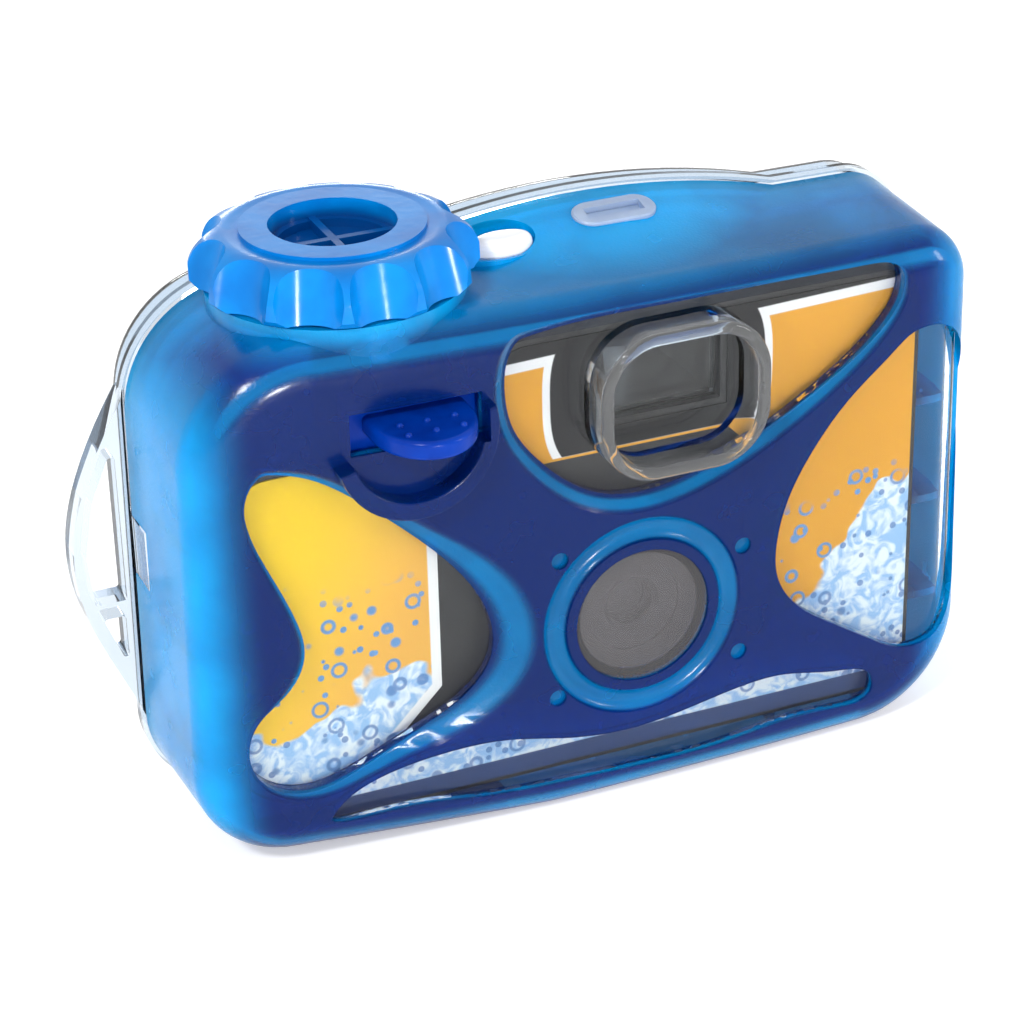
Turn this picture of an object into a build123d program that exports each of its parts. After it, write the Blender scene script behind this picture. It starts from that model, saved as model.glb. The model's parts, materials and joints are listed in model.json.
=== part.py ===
from build123d import *
import os
from math import atan2, cos, degrees, hypot, radians, sin, sqrt, tan

# Waterproof disposable film camera: a translucent blue front half and a clear rear half,
# snapped together round a seal, with a cardboard-dressed 35 mm film camera inside.
# Seen from the front: X to the right, Y to the back, Z up. The origin is on the flat base.
# Each size is in millimetres. Depths are measured along Y, ahead of or behind the origin.

# The housing
housing_width = 122.0
shoulder_height = 81.0
right_height = 79.4
front_depth = 22.0
parting_depth = 6.0
back_depth = 16.0
wall = 2.0
crown_drop = 2.2
front_draft = 0.8
edge_round = 6.0
left_lean = 1.3
right_lean = 0.9
base_bend = -8.0
base_bend_round = 60.0
base_lift = 2.4
base_front_lift = 1.2
base_trim = 0.3
bottom_left_round = 13.5
bottom_right_round = 17.5
top_right_round = 8.5
top_left_round = 18.0
running_gap = 0.3
seat_gap = 0.1
overrun = 4.0

# The hump on the top, above the finder and the frame counter
hump_x = 8.0
hump_height = 84.1
hump_radius = 120.0
hump_half_width = 42.0
hump_fade = 19.0
hump_skirt = 12.0
hump_reach = 28.5

# Winding knob, its collar and its shaft
knob_x = -31.3
knob_y = -2.5
knob_radius = 19.8
knob_height = 7.6
knob_gap = 0.5
knob_ring_radius = 12.8
knob_ring_step = 0.5
knob_shoulder_radius = 14.0
knob_side_height = 3.2
knob_hole_radius = 8.8
knob_floor = 1.3
knob_wall = 1.6
neck_rise = 2.0
knob_cavity = 2.5
knob_key = 3.4
knob_lip = 1.0
knob_rib = 1.1
knob_rib_drop = 2.4
knob_rib_count = 2
knob_step_width = 1.1
knob_step_height = 1.2
flute_count = 12
flute_radius = 5.5
flute_depth = 2.1
flute_top_inset = 4.3
collar_radius = 18.0
collar_rise = 0.5
neck_radius = 6.4
neck_drop = 4.0
shaft_radius = 4.0
shaft_clearance = 0.06
seal_width = 1.3
seal_height = 1.2
seal_clearance = 0.03
button_seal_height = 0.6

# Lens port, and the camera's optical axis
lens_x = 5.6
port_radius = 10.4
port_sink = 0.5
port_thickness = 1.6
port_ridge = 1.5
port_trough_radius = 15.6
port_trough = 1.3
port_seat = 1.2
dimple_radius = 1.3
dimple_depth = 0.8

# Windows in the front: place and size of each pane, its sink and the width of its bevel
pane_thickness = 1.2
pane_seat = 0.4
pane_step = 0.3
bean_x = -35.0
bean_z = 38.0
bean_width = 38.0
bean_height = 51.0
bean_sink = 1.9
bean_rim = 2.2
bean_scoop = 4.6
finder_window_x = 16.8
finder_window_z = 62.7
finder_window_width = 62.0
finder_window_height = 28.0
finder_window_sink = 1.8
finder_window_rim = 2.4
right_window_x = 43.4
right_window_z = 39.0
right_window_width = 33.0
right_window_height = 53.0
side_window_sink = 0.9
right_window_depth = 6.4
bottom_window_x = 1.4
bottom_window_z = 9.8
bottom_window_width = 87.0
bottom_window_height = 10.4
bottom_window_depth = 7.0

# The finder's clear tunnel
tunnel_x = 10.4
tunnel_z = 64.2
tunnel_width = 25.7
tunnel_height = 22.0
tunnel_round = 8.5
tunnel_wall = 1.9
tunnel_reach = 4.6
tunnel_edge = 0.8

# Frame counter's window on the top
counter_x = 11.4
counter_y = -0.2
counter_length = 12.6
counter_breadth = 5.8
counter_slot_length = 8.6
counter_slot_breadth = 2.4
counter_rise = 0.5
counter_sink = 1.0

# Shutter button and its well
button_x = -6.7
button_y = -2.2
button_length = 9.2
button_breadth = 5.4
button_bulge = 2.5
button_round = 1.5
well_x = -7.2
well_y = -0.6
well_length = 12.0
well_breadth = 9.6
well_floor_height = 79.0
well_floor = 1.5
well_ring = 0.6
button_lift = 0.1
stem_radius = 1.9
stem_clearance = 0.06
press_travel = 1.6

# Finger shelf of the shutter trigger, its cut-out and the guard below it
shelf_x = -27.5
shelf_top = 68.3
shelf_thickness = 2.8
shelf_width = 14.6
shelf_reach = 9.0
shelf_edge = 0.8
shelf_shift = 0.5
cutout_side = 2.1
cutout_above = 1.5
pimple_radius = 0.55
pimple_pitch = 3.9
pimple_row = 3.2
pimple_start = 2.2
guard_x = -28.3
guard_z = 65.6
guard_radius = 11.6
guard_width = 2.0
guard_proud = 2.6
guard_tilt = 15.0
guard_shift = 0.7
guard_edge = 0.4
slide_thickness = 1.2
slide_cover = 0.5
slide_depth = 18.85
arm_thickness = 1.5
arm_width = 5.2
arm_x = -21.2
arm_back = 1.2
arm_turn = 4.2
arm_end = -3.6
spring_radius = 2.2
spring_wire = 0.5
spring_turns = 6
spring_y = -10.0
spring_post = 3.0

# The camera inside
camera_floor = 4.7
camera_left = -53.5
camera_right = 52.0
camera_top = 73.5
camera_step_x = -15.6
camera_front_depth = 16.4
camera_back_depth = 13.4
camera_split_depth = 8.2
camera_round = 6.0
camera_nook = 3.0
skin = 1.3
card_thickness = 0.3
card_margin = 0.8
card_left_edge = -23.6
card_right_edge = 24.0
card_low_edge = 17.0
card_high_edge = 54.5
card_cut = 6.0
finder_x = 11.3
finder_z = 64.3
finder_width = 17.5
finder_height = 10.5
finder_eye_width = 11.0
finder_eye_height = 8.0
finder_lens_thickness = 1.8

# Film path
film_depth = 9.3
film_width = 35.0
film_thickness = 0.2
gate_width = 36.0
gate_height = 24.0
cartridge_radius = 12.5
cartridge_height = 47.0
cartridge_skin = 0.4
spool_radius = 5.5
spool_neck = 3.0
chamber_gap = 0.4
chamber_wall = 1.1
chamber_rise = 1.2
thumbwheel_radius = 12.4
thumbwheel_height = 4.6
thumbwheel_gap = 1.5
thumbwheel_headroom = 0.7
thumbwheel_teeth = 36
knurl_radius = 0.5
tang_width = 2.4
tang_depth = 3.0
roll_x = 37.4
roll_y = -2.0
roll_radius = 11.0
roll_core = 4.0
plate_thickness = 1.4
rail_gap = 0.2
pressure_width = 46.0
pressure_height = 40.0
pressure_thickness = 0.8
sprocket_x = -8.0
sprocket_radius = 5.4
sprocket_tooth = 0.5
sprocket_teeth = 8
sprocket_height = 2.0
sprocket_rise = 14.6
sprocket_axle = 1.5
dial_y = -5.7
dial_radius = 8.4
dial_thickness = 0.8
dial_pin = 1.0
dial_bottom = 71.0
shelf_plate_thickness = 1.2
shelf_plate_rise = 19.2
post_radius = 2.6
post_top = 66.0
post_floor = 56.0
plunger_radius = 1.2
plunger_bottom = 60.0
release_radius = 2.5
release_flange = 3.3
release_flange_top = 72.0
release_flange_thickness = 1.4
lip_left = -28.0
lip_right = -20.8
lip_front = 8.6
lip_back = 10.0
pad_width = 3.0
pad_height = 24.0
pad_offset = 15.0
pad_gap = 0.1
lens_pane_gap = 0.2
concave_radius = 40.0
concave_depth = 0.6

# Taking lens and shutter
lens_radius = 4.2
lens_thickness = 1.9
lens_bulge = 0.5
lens_lip = 1.0
lens_depth = 15.95
barrel_radius = 6.4
barrel_depth = 13.4
retainer_radius = 7.2
retainer_thickness = 1.4
retainer_depth = 17.6
retainer_hole = 3.6
nose_radius = 9.4
nose_reach = 1.5
board_depth = 10.4
board_half = 10.5
board_thickness = 1.4
baffle_width = 12.0
baffle_height = 10.0
aperture_radius = 1.9
blade_thickness = 0.3
blade_radius = 3.4
blade_arm = 2.4
blade_gap = 0.2
pivot_x = 13.6
pivot_rise = 6.7
pivot_radius = 0.9
pivot_length = 2.2
pivot_clearance = 0.05
shutter_coil_radius = 1.4
shutter_wire = 0.3
shutter_turns = 3

# Rear half, its flange, strap loop and snap tongues
flange_thickness = 2.4
flange_proud = 0.6
rear_inset = 0.4
rear_round = 3.6
spigot_depth = 3.4
spigot_gap = 0.9
hump_fall = 0.8
spigot_thickness = 1.5
gasket_thickness = 0.8
gasket_clearance = 0.1
gasket_width = 0.7
gasket_depth = 5.9
loop_thickness = 4.5
loop_root = -57.5
loop_low = 12.5
loop_high = 66.5
loop_edge = [
    (-60.0, 66.0), (-62.4, 62.0), (-65.9, 55.0), (-68.7, 46.0),
    (-69.1, 41.0), (-68.2, 34.0), (-65.2, 25.5), (-60.0, 13.0),
]
loop_gap = [(-62.0, 34.5), (-62.0, 57.0), (-63.0, 57.0), (-65.8, 50.5), (-67.3, 42.0), (-66.6, 34.5)]
loop_web = [(-62.4, 23.5), (-62.4, 32.0), (-65.7, 32.0)]
loop_round = 0.45
tongue_z = 43.0
tongue_height = 9.0
tongue_length = 6.0
tongue_thickness = 1.0
eyepiece_width = 20.0
eyepiece_height = 15.0
eyepiece_rise = 1.6
eyepiece_wall = 1.4
eyepiece_round = 3.0
rib_thickness = 1.2
rib_length = 14.0
rib_depth = 8.0
rib_root = 1.5
rib_bury = 2.4
rib_x = 30.0

# Outlines of the panes, as shares of each pane's width and height about its centre
bean_shares = [
    (-0.35, 0.49), (-0.19, 0.45), (0.01, 0.34), (0.22, 0.195), (0.375, 0.06), (0.47, -0.09),
    (0.47, -0.195), (0.365, -0.30), (0.165, -0.38), (-0.07, -0.46), (-0.255, -0.495),
    (-0.41, -0.455), (-0.485, -0.355), (-0.45, -0.25), (-0.32, -0.165), (-0.255, -0.07),
    (-0.28, 0.05), (-0.36, 0.195), (-0.435, 0.345), (-0.43, 0.44),
]
finder_window_shares = [
    (-0.455, 0.46), (-0.33, 0.49), (-0.10, 0.495), (0.16, 0.497), (0.40, 0.49), (0.482, 0.44),
    (0.49, 0.32), (0.455, 0.17), (0.37, 0.0), (0.25, -0.17), (0.11, -0.33), (-0.035, -0.45),
    (-0.165, -0.497), (-0.265, -0.465), (-0.345, -0.37), (-0.425, -0.20), (-0.485, 0.01),
    (-0.50, 0.22), (-0.49, 0.37),
]
right_window_shares = [
    (0.21, 0.495), (0.38, 0.47), (0.475, 0.36), (0.495, 0.12), (0.49, -0.20), (0.45, -0.38),
    (0.33, -0.48), (0.19, -0.49), (0.0, -0.43), (-0.22, -0.34), (-0.40, -0.25), (-0.49, -0.15),
    (-0.495, -0.05), (-0.44, 0.08), (-0.32, 0.21), (-0.13, 0.345), (0.08, 0.45),
]
bottom_window_shares = [
    (-0.50, -0.12), (-0.47, 0.12), (-0.40, 0.36), (-0.30, 0.48), (-0.20, 0.46), (-0.10, 0.28),
    (0.0, 0.17), (0.10, 0.22), (0.20, 0.36), (0.31, 0.41), (0.41, 0.24), (0.49, -0.05),
    (0.49, -0.24), (0.40, -0.38), (0.20, -0.46), (-0.05, -0.45), (-0.25, -0.36), (-0.42, -0.26),
]

# Heights of the side ribs as shares of the shoulder's, and dimples as shares of the trough's radius
rib_height_shares = (0.22, 0.42, 0.62)
dimple_shares = [(-0.82, 0.75), (1.02, 0.48), (-0.86, -0.66), (0.99, -0.63)]
knob_bow_share = sqrt(1 / 2)

# Places that follow from the sizes above
half_width = housing_width / 2
crown_radius = (half_width ** 2 + crown_drop ** 2) / (2 * crown_drop)
crown_y = crown_radius - front_depth
hump_slope = degrees(atan2(hump_height - shoulder_height + wall / 2, hump_fade))
collar_top = shoulder_height + collar_rise
knob_bottom = collar_top + knob_gap
knob_top = knob_bottom + knob_height
cartridge_bottom = camera_floor + skin + running_gap
cartridge_top = cartridge_bottom + cartridge_height
lens_z = (cartridge_bottom + cartridge_top) / 2
thumbwheel_bottom = cartridge_top + thumbwheel_gap
thumbwheel_top = thumbwheel_bottom + thumbwheel_height
camera_shoulder = thumbwheel_top + thumbwheel_headroom + skin
chamber_low = cartridge_bottom
chamber_high = thumbwheel_bottom + chamber_rise
shelf_plate_z = lens_z + shelf_plate_rise
sprocket_z = lens_z + sprocket_rise
pivot_z = lens_z + pivot_rise
tongue_side = half_width - left_lean * tongue_z / shoulder_height
arm_bottom = well_floor_height - well_floor - running_gap * 2 - arm_thickness
arm_top = arm_bottom + arm_thickness
shelf_bottom = shelf_top - shelf_thickness
film_front = film_depth - film_thickness / 2


def at_y(y):
    """Front-view plane at depth y: its x is X, its y is Z, and it faces forward."""
    return Plane.XZ.offset(-y)


def placed(shares, x, z, width, height):
    """Outline of a pane from its shares, in the front view."""
    return [(x + width * across, z + height * up) for across, up in shares]


def grown(points, amount, extra=0):
    """The same closed outline, moved outwards by amount, and by extra more at its right tip."""
    left = min(x for x, z in points)
    right = max(x for x, z in points)
    moved = []
    for index, (x, z) in enumerate(points):
        before = points[index - 1]
        after = points[(index + 1) % len(points)]
        along_x = after[0] - before[0]
        along_z = after[1] - before[1]
        length = hypot(along_x, along_z)
        tip_share = max(0, (2 * x - left - right) / (right - left))
        reach = amount + extra * tip_share ** 2
        moved.append((x - reach * along_z / length, z + reach * along_x / length))
    return moved


def case_outline(inset, draw=0, lift=0):
    """Corners of the case in the front view and their roundings, drawn in by inset on every side."""
    side = half_width - inset - draw
    low = inset - base_trim
    corners = [
        (-side, low + base_lift + lift),
        (base_bend, low),
        (side, low),
        (side - right_lean, right_height - inset - draw),
        (left_lean - side, shoulder_height - inset - draw),
    ]
    rounds = [
        bottom_left_round - inset,
        base_bend_round,
        bottom_right_round - inset,
        top_right_round - inset,
        top_left_round - inset,
    ]
    return corners, rounds


def case_form(inset):
    """The front half's crowned block, with its hump, drawn in by inset on every side."""
    with BuildPart() as form:
        for depth, draw, lift in ((parting_depth, 0, 0), (-front_depth, front_draft, base_front_lift)):
            corners, rounds = case_outline(inset, draw, lift)
            with BuildSketch(at_y(depth)):
                with BuildLine():
                    FilletPolyline(*corners, radius=rounds, close=True)
                make_face()
        loft(ruled=True)
        with BuildSketch(Plane.XY.offset(-overrun)):
            with Locations((0, crown_y)):
                Circle(crown_radius - inset)
        extrude(amount=hump_height + overrun, mode=Mode.INTERSECT)
        front_edges = form.edges().filter_by_position(
            Axis.Y, -front_depth - overrun, -front_depth + inset + crown_drop + front_draft
        )
        fillet(front_edges, edge_round - inset)
        split(bisect_by=Plane.XY, keep=Keep.TOP)
    with BuildPart() as hump:
        slope = radians(hump_slope)
        saddle = Plane(
            origin=(hump_x, parting_depth, hump_height),
            x_dir=(1, 0, 0),
            z_dir=(0, -cos(slope), -sin(slope)),
        )
        bow = hump_radius - inset
        chord = hump_half_width - inset
        side_drop = hump_radius - sqrt(bow ** 2 - chord ** 2)
        with BuildSketch(saddle.offset(-overrun)):
            with BuildLine():
                ThreePointArc((-chord, -side_drop), (0, -inset), (chord, -side_drop))
                Polyline(
                    (chord, -side_drop), (chord, -hump_skirt), (-chord, -hump_skirt), (-chord, -side_drop)
                )
            make_face()
        extrude(amount=hump_reach)
        split(bisect_by=at_y(parting_depth), keep=Keep.TOP)
    with BuildPart() as whole:
        add(form.part)
        add(hump.part)
    return whole.part


def crown_layer(near, far):
    """The curved layer between two depths below the crowned front face."""
    with BuildPart() as layer:
        with BuildSketch(Plane.XY):
            with Locations((0, crown_y)):
                Circle(crown_radius - near)
                Circle(crown_radius - far, mode=Mode.SUBTRACT)
            with Locations((0, -front_depth)):
                Rectangle(housing_width, front_depth, mode=Mode.INTERSECT)
        extrude(amount=hump_height)
    return layer.part


def outline_prism(points, front, back):
    """A closed curved outline, drawn through from one depth to another."""
    with BuildPart() as prism:
        with BuildSketch(at_y(front)):
            with BuildLine():
                Spline(*points, periodic=True)
            make_face()
        extrude(amount=front - back)
    return prism.part


def bevel_cut(points, rim, sink, scoop=0):
    """The sloping recess round a pane, wide at the face and a small step from the pane."""
    with BuildPart() as bevel:
        with BuildSketch(at_y(-front_depth - sink)):
            with BuildLine():
                Spline(*grown(points, rim * 2, scoop * 2), periodic=True)
            make_face()
        with BuildSketch(at_y(-front_depth + sink)):
            with BuildLine():
                Spline(*grown(points, pane_step), periodic=True)
            make_face()
        loft(ruled=True)
    return bevel.part


def rim_slab(inset, front, back, lower=0, rounding=0):
    """The case's outline where its halves meet, hump included, from one depth to another."""
    corners, rounds = case_outline(inset)
    top = hump_height - inset - lower
    bow = hump_radius - inset
    chord = hump_half_width - inset
    side_drop = bow - sqrt(bow ** 2 - chord ** 2)
    with BuildPart() as shoulders:
        with BuildSketch(at_y(front)):
            with BuildLine():
                FilletPolyline(*corners, radius=rounds, close=True)
            make_face()
        extrude(amount=front - back)
        if rounding:
            fillet(shoulders.faces().sort_by(Axis.Y)[-1].edges(), rounding)
    with BuildPart() as crown:
        with BuildSketch(at_y(front)):
            with BuildLine():
                ThreePointArc(
                    (hump_x - chord, top - side_drop), (hump_x, top), (hump_x + chord, top - side_drop)
                )
                Polyline(
                    (hump_x + chord, top - side_drop),
                    (hump_x + chord, top - hump_skirt),
                    (hump_x - chord, top - hump_skirt),
                    (hump_x - chord, top - side_drop),
                )
            make_face()
        extrude(amount=front - back)
        if rounding:
            fillet(crown.faces().sort_by(Axis.Y)[-1].edges().sort_by(Axis.Z)[-1], rounding)
    with BuildPart() as slab:
        add(shoulders.part)
        add(crown.part)
    return slab.part


def camera_block(inset, front, back):
    """The inner camera's stepped outline, drawn in by inset, from one depth to another."""
    with BuildPart() as block:
        with BuildSketch(at_y(front)):
            with BuildLine():
                FilletPolyline(
                    (camera_left + inset, camera_floor + inset),
                    (camera_left + inset, camera_shoulder - inset),
                    (camera_step_x + inset, camera_shoulder - inset),
                    (camera_step_x + inset, camera_top - inset),
                    (camera_right - inset, camera_top - inset),
                    (camera_right - inset, camera_floor + inset),
                    radius=[camera_round - inset] * 2 + [camera_nook] + [camera_round - inset] * 3,
                    close=True,
                )
            make_face()
        extrude(amount=front - back)
    return block.part


def disc(x, y, radius, low, high):
    """An upright cylinder between two heights."""
    with BuildPart() as solid:
        with BuildSketch(Plane.XY.offset(low)):
            with Locations((x, y)):
                Circle(radius)
        extrude(amount=high - low)
    return solid.part


def bar(x, z, radius, front, back):
    """A cylinder that runs from front to back."""
    with BuildPart() as solid:
        with BuildSketch(at_y(front)):
            with Locations((x, z)):
                Circle(radius)
        extrude(amount=front - back)
    return solid.part


def block(left, right, front, back, low, high):
    """A box from its six faces."""
    with BuildPart() as solid:
        with BuildSketch(Plane.XY.offset(low)):
            with Locations(((left + right) / 2, (front + back) / 2)):
                Rectangle(right - left, back - front)
        extrude(amount=high - low)
    return solid.part


# Outlines used by the case, by the panes and by the bosses behind them
bean_points = placed(bean_shares, bean_x, bean_z, bean_width, bean_height)
finder_points = placed(
    finder_window_shares, finder_window_x, finder_window_z, finder_window_width, finder_window_height
)
right_points = placed(
    right_window_shares, right_window_x, right_window_z, right_window_width, right_window_height
)
bottom_points = placed(
    bottom_window_shares, bottom_window_x, bottom_window_z, bottom_window_width, bottom_window_height
)

outer_form = case_form(0)
inner_form = case_form(wall)

pane_front = -front_depth - overrun
pane_back = -front_depth + overrun * 2
bean_hole = outline_prism(bean_points, pane_front, pane_back)
finder_hole = outline_prism(finder_points, pane_front, pane_back)
right_hole = outline_prism(right_points, pane_front, -front_depth + right_window_depth)
bottom_hole = outline_prism(bottom_points, pane_front, -front_depth + bottom_window_depth)
bean_bevel = bevel_cut(bean_points, bean_rim, bean_sink, bean_scoop)
finder_bevel = bevel_cut(finder_points, finder_window_rim, finder_window_sink)
lens_axis = Axis((lens_x, 0, lens_z), (0, 1, 0))
collar_bottom = camera_shoulder + running_gap

with BuildPart() as bean_ring:
    add(outline_prism(grown(bean_points, bean_rim, bean_scoop), pane_front, pane_back))
    add(crown_layer(wall / 2, bean_sink + pane_thickness + pane_seat), mode=Mode.INTERSECT)
    add(outer_form, mode=Mode.INTERSECT)

with BuildPart() as finder_ring:
    add(outline_prism(grown(finder_points, finder_window_rim), pane_front, pane_back))
    add(crown_layer(wall / 2, finder_window_sink + pane_thickness + pane_seat), mode=Mode.INTERSECT)
    add(outer_form, mode=Mode.INTERSECT)

# Knob collar, as far back as the parting plane, and the space inside it
with BuildPart() as collar:
    add(disc(knob_x, knob_y, collar_radius, collar_bottom, collar_top))
    split(bisect_by=at_y(parting_depth), keep=Keep.TOP)

with BuildPart() as hollow:
    add(disc(knob_x, knob_y, collar_radius - wall, collar_bottom, collar_top - wall))
    split(bisect_by=at_y(parting_depth), keep=Keep.TOP)
    add(inner_form)

# Crescent guard under the finger shelf
with BuildPart() as guard:
    with BuildSketch(at_y(-front_depth + wall)):
        with Locations((guard_x, guard_z)):
            Circle(guard_radius)
        with Locations((guard_x, guard_z + guard_shift)):
            Circle(guard_radius - guard_width, mode=Mode.SUBTRACT)
        with Locations(Location((guard_x, guard_z, 0), (0, 0, guard_tilt))):
            Rectangle(
                guard_radius * 2 + overrun, guard_radius + overrun,
                align=(Align.CENTER, Align.MAX), mode=Mode.INTERSECT,
            )
    extrude(amount=guard_proud + wall)
    fillet(guard.faces().sort_by(Axis.Y)[0].edges(), guard_edge)

# Plane of the frame counter's window, tilted as the hump is there
counter_z = (
    hump_height
    - (counter_x - hump_x) ** 2 / (2 * hump_radius)
    - (parting_depth - counter_y) * tan(radians(hump_slope))
)
counter_plane = Plane(
    origin=(counter_x, counter_y, counter_z),
    x_dir=(1, 0, 0),
    z_dir=(0, -sin(radians(hump_slope)), cos(radians(hump_slope))),
)

# Front case
with BuildPart() as front_case:
    add(outer_form)
    knob_room = knob_radius + knob_gap
    add(disc(knob_x, knob_y, knob_room, collar_top, hump_height + overrun), mode=Mode.SUBTRACT)
    add(collar.part)
    add(hollow.part, mode=Mode.SUBTRACT)
    add(bean_ring.part)
    add(finder_ring.part)
    # Windows
    add(finder_hole, mode=Mode.SUBTRACT)
    add(finder_bevel, mode=Mode.SUBTRACT)
    add(bean_hole, mode=Mode.SUBTRACT)
    add(bean_bevel, mode=Mode.SUBTRACT)
    add(right_hole, mode=Mode.SUBTRACT)
    add(bottom_hole, mode=Mode.SUBTRACT)
    add(guard.part)
    # Lens port: seat of the glass, the way through, the trough and the dimples round the ridge
    port_back = -front_depth + port_sink + port_thickness + pane_seat
    add(bar(lens_x, lens_z, port_radius + port_ridge, -front_depth + wall / 2, port_back))
    add(bar(lens_x, lens_z, port_radius, pane_front, port_back - pane_seat), mode=Mode.SUBTRACT)
    add(bar(lens_x, lens_z, port_radius - port_seat, -front_depth, 0), mode=Mode.SUBTRACT)
    trough_half = (port_trough_radius - port_radius - port_ridge) / 2
    trough_round = (trough_half ** 2 + port_trough ** 2) / (2 * port_trough)
    with BuildSketch(Plane.XY.offset(lens_z)):
        trough_middle = lens_x + port_trough_radius - trough_half
        with Locations((trough_middle, -front_depth + port_trough - trough_round)):
            Circle(trough_round)
    revolve(axis=lens_axis, mode=Mode.SUBTRACT)
    for across, up in dimple_shares:
        dimple_x = lens_x + port_trough_radius * across
        dimple_z = lens_z + port_trough_radius * up
        dimple_back = -front_depth + crown_drop * (dimple_x / half_width) ** 2 + dimple_depth
        add(bar(dimple_x, dimple_z, dimple_radius, pane_front, dimple_back), mode=Mode.SUBTRACT)
    # Cut-out for the finger shelf
    cutout_half = shelf_width / 2 + cutout_side
    cutout_low = shelf_bottom - press_travel - running_gap
    add(
        block(
            shelf_x - cutout_half, shelf_x + cutout_half, pane_front, pane_back,
            cutout_low, shelf_top + cutout_above,
        ),
        mode=Mode.SUBTRACT,
    )
    # Neck of the knob's shaft, with the seat of its seal
    neck_top = knob_bottom + neck_rise
    add(disc(knob_x, knob_y, neck_radius, collar_top - wall - neck_drop, neck_top))
    seal_low = neck_top - seal_height
    add(disc(knob_x, knob_y, shaft_radius + shaft_clearance, collar_bottom, knob_top), mode=Mode.SUBTRACT)
    add(disc(knob_x, knob_y, shaft_radius + seal_width, seal_low, knob_top), mode=Mode.SUBTRACT)
    # Well of the shutter button, closed by its floor, with the stem's bore and the seat of its seal
    well_bottom = well_floor_height - well_floor
    with BuildSketch(Plane.XY.offset(well_bottom)):
        with Locations((well_x, well_y)):
            Ellipse(well_length / 2 + well_ring, well_breadth / 2 + well_ring)
    extrude(amount=well_floor + wall)
    with BuildSketch(Plane.XY.offset(well_floor_height)):
        with Locations((well_x, well_y)):
            Ellipse(well_length / 2, well_breadth / 2)
    extrude(amount=hump_height - well_floor_height, mode=Mode.SUBTRACT)
    add(
        disc(button_x, button_y, stem_radius + stem_clearance, well_bottom - overrun, hump_height),
        mode=Mode.SUBTRACT,
    )
    add(
        disc(button_x, button_y, stem_radius + seal_width, well_bottom, well_bottom + button_seal_height),
        mode=Mode.SUBTRACT,
    )
    # Slot of the counter's window
    with BuildSketch(counter_plane.offset(-wall * 2)):
        SlotOverall(counter_length, counter_breadth)
    extrude(amount=wall * 2 + overrun, mode=Mode.SUBTRACT)
    # Ribs that hold the camera sideways and from below
    rib_front = -rib_depth - rib_length / 2
    rib_back = -rib_depth + rib_length / 2
    for share in rib_height_shares:
        rib_z = shoulder_height * share
        add(
            block(
                -half_width + rib_bury, camera_left - running_gap, rib_front, rib_back,
                rib_z, rib_z + rib_thickness,
            )
        )
        add(
            block(
                camera_right + running_gap, half_width - rib_bury, rib_front, rib_back,
                rib_z, rib_z + rib_thickness,
            )
        )
    for side in (-1, 1):
        rib_side = side * rib_x
        add(
            block(
                rib_side - rib_thickness / 2, rib_side + rib_thickness / 2, rib_front, rib_back,
                rib_root, camera_floor - seat_gap,
            )
        )
        # Notches of the rear half's snap tongues
        notch_edge = side * (tongue_side - tongue_thickness - seat_gap)
        notch_far = side * (half_width + overrun)
        add(
            block(
                min(notch_edge, notch_far), max(notch_edge, notch_far),
                parting_depth - tongue_length - seat_gap, parting_depth,
                tongue_z - tongue_height / 2 - seat_gap, tongue_z + tongue_height / 2 + seat_gap,
            ),
            mode=Mode.SUBTRACT,
        )
front_case.part.label = "front_case"

# Panes
with BuildPart() as left_window:
    add(bean_hole)
    add(crown_layer(bean_sink, bean_sink + pane_thickness), mode=Mode.INTERSECT)
left_window.part.label = "left_window"

with BuildPart() as viewfinder_window:
    add(finder_hole)
    add(crown_layer(finder_window_sink, finder_window_sink + pane_thickness), mode=Mode.INTERSECT)
    with BuildSketch(at_y(-front_depth + finder_window_sink + pane_thickness / 2)):
        with Locations((tunnel_x, tunnel_z)):
            RectangleRounded(tunnel_width, tunnel_height, tunnel_round)
            RectangleRounded(
                tunnel_width - 2 * tunnel_wall,
                tunnel_height - 2 * tunnel_wall,
                tunnel_round - tunnel_wall,
                mode=Mode.SUBTRACT,
            )
    extrude(amount=tunnel_reach + finder_window_sink + pane_thickness / 2)
    fillet(viewfinder_window.faces().sort_by(Axis.Y)[0].edges(), tunnel_edge)
viewfinder_window.part.label = "viewfinder_window"

corner_layer = case_form(side_window_sink) - case_form(side_window_sink + pane_thickness)
with BuildPart() as right_window:
    add(right_hole)
    add(corner_layer, mode=Mode.INTERSECT)
right_window.part.label = "right_window"

with BuildPart() as bottom_window:
    add(bottom_hole)
    add(corner_layer, mode=Mode.INTERSECT)
bottom_window.part.label = "bottom_window"

with BuildPart() as lens_port:
    port_front = -front_depth + port_sink
    add(bar(lens_x, lens_z, port_radius, port_front, port_front + port_thickness))
    chamfer(lens_port.faces().sort_by(Axis.Y)[0].edges(), seat_gap)
lens_port.part.label = "lens_port"

with BuildPart() as counter_window:
    with BuildSketch(counter_plane.offset(-wall)):
        SlotOverall(counter_length, counter_breadth)
    extrude(amount=wall + counter_rise)
    chamfer(counter_window.faces().sort_by(Axis.Z)[-1].edges(), counter_rise / 2)
    with BuildSketch(counter_plane.offset(counter_rise - counter_sink)):
        Rectangle(counter_slot_length, counter_slot_breadth)
    extrude(amount=counter_sink + overrun, mode=Mode.SUBTRACT)
counter_window.part.label = "counter_window"

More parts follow.
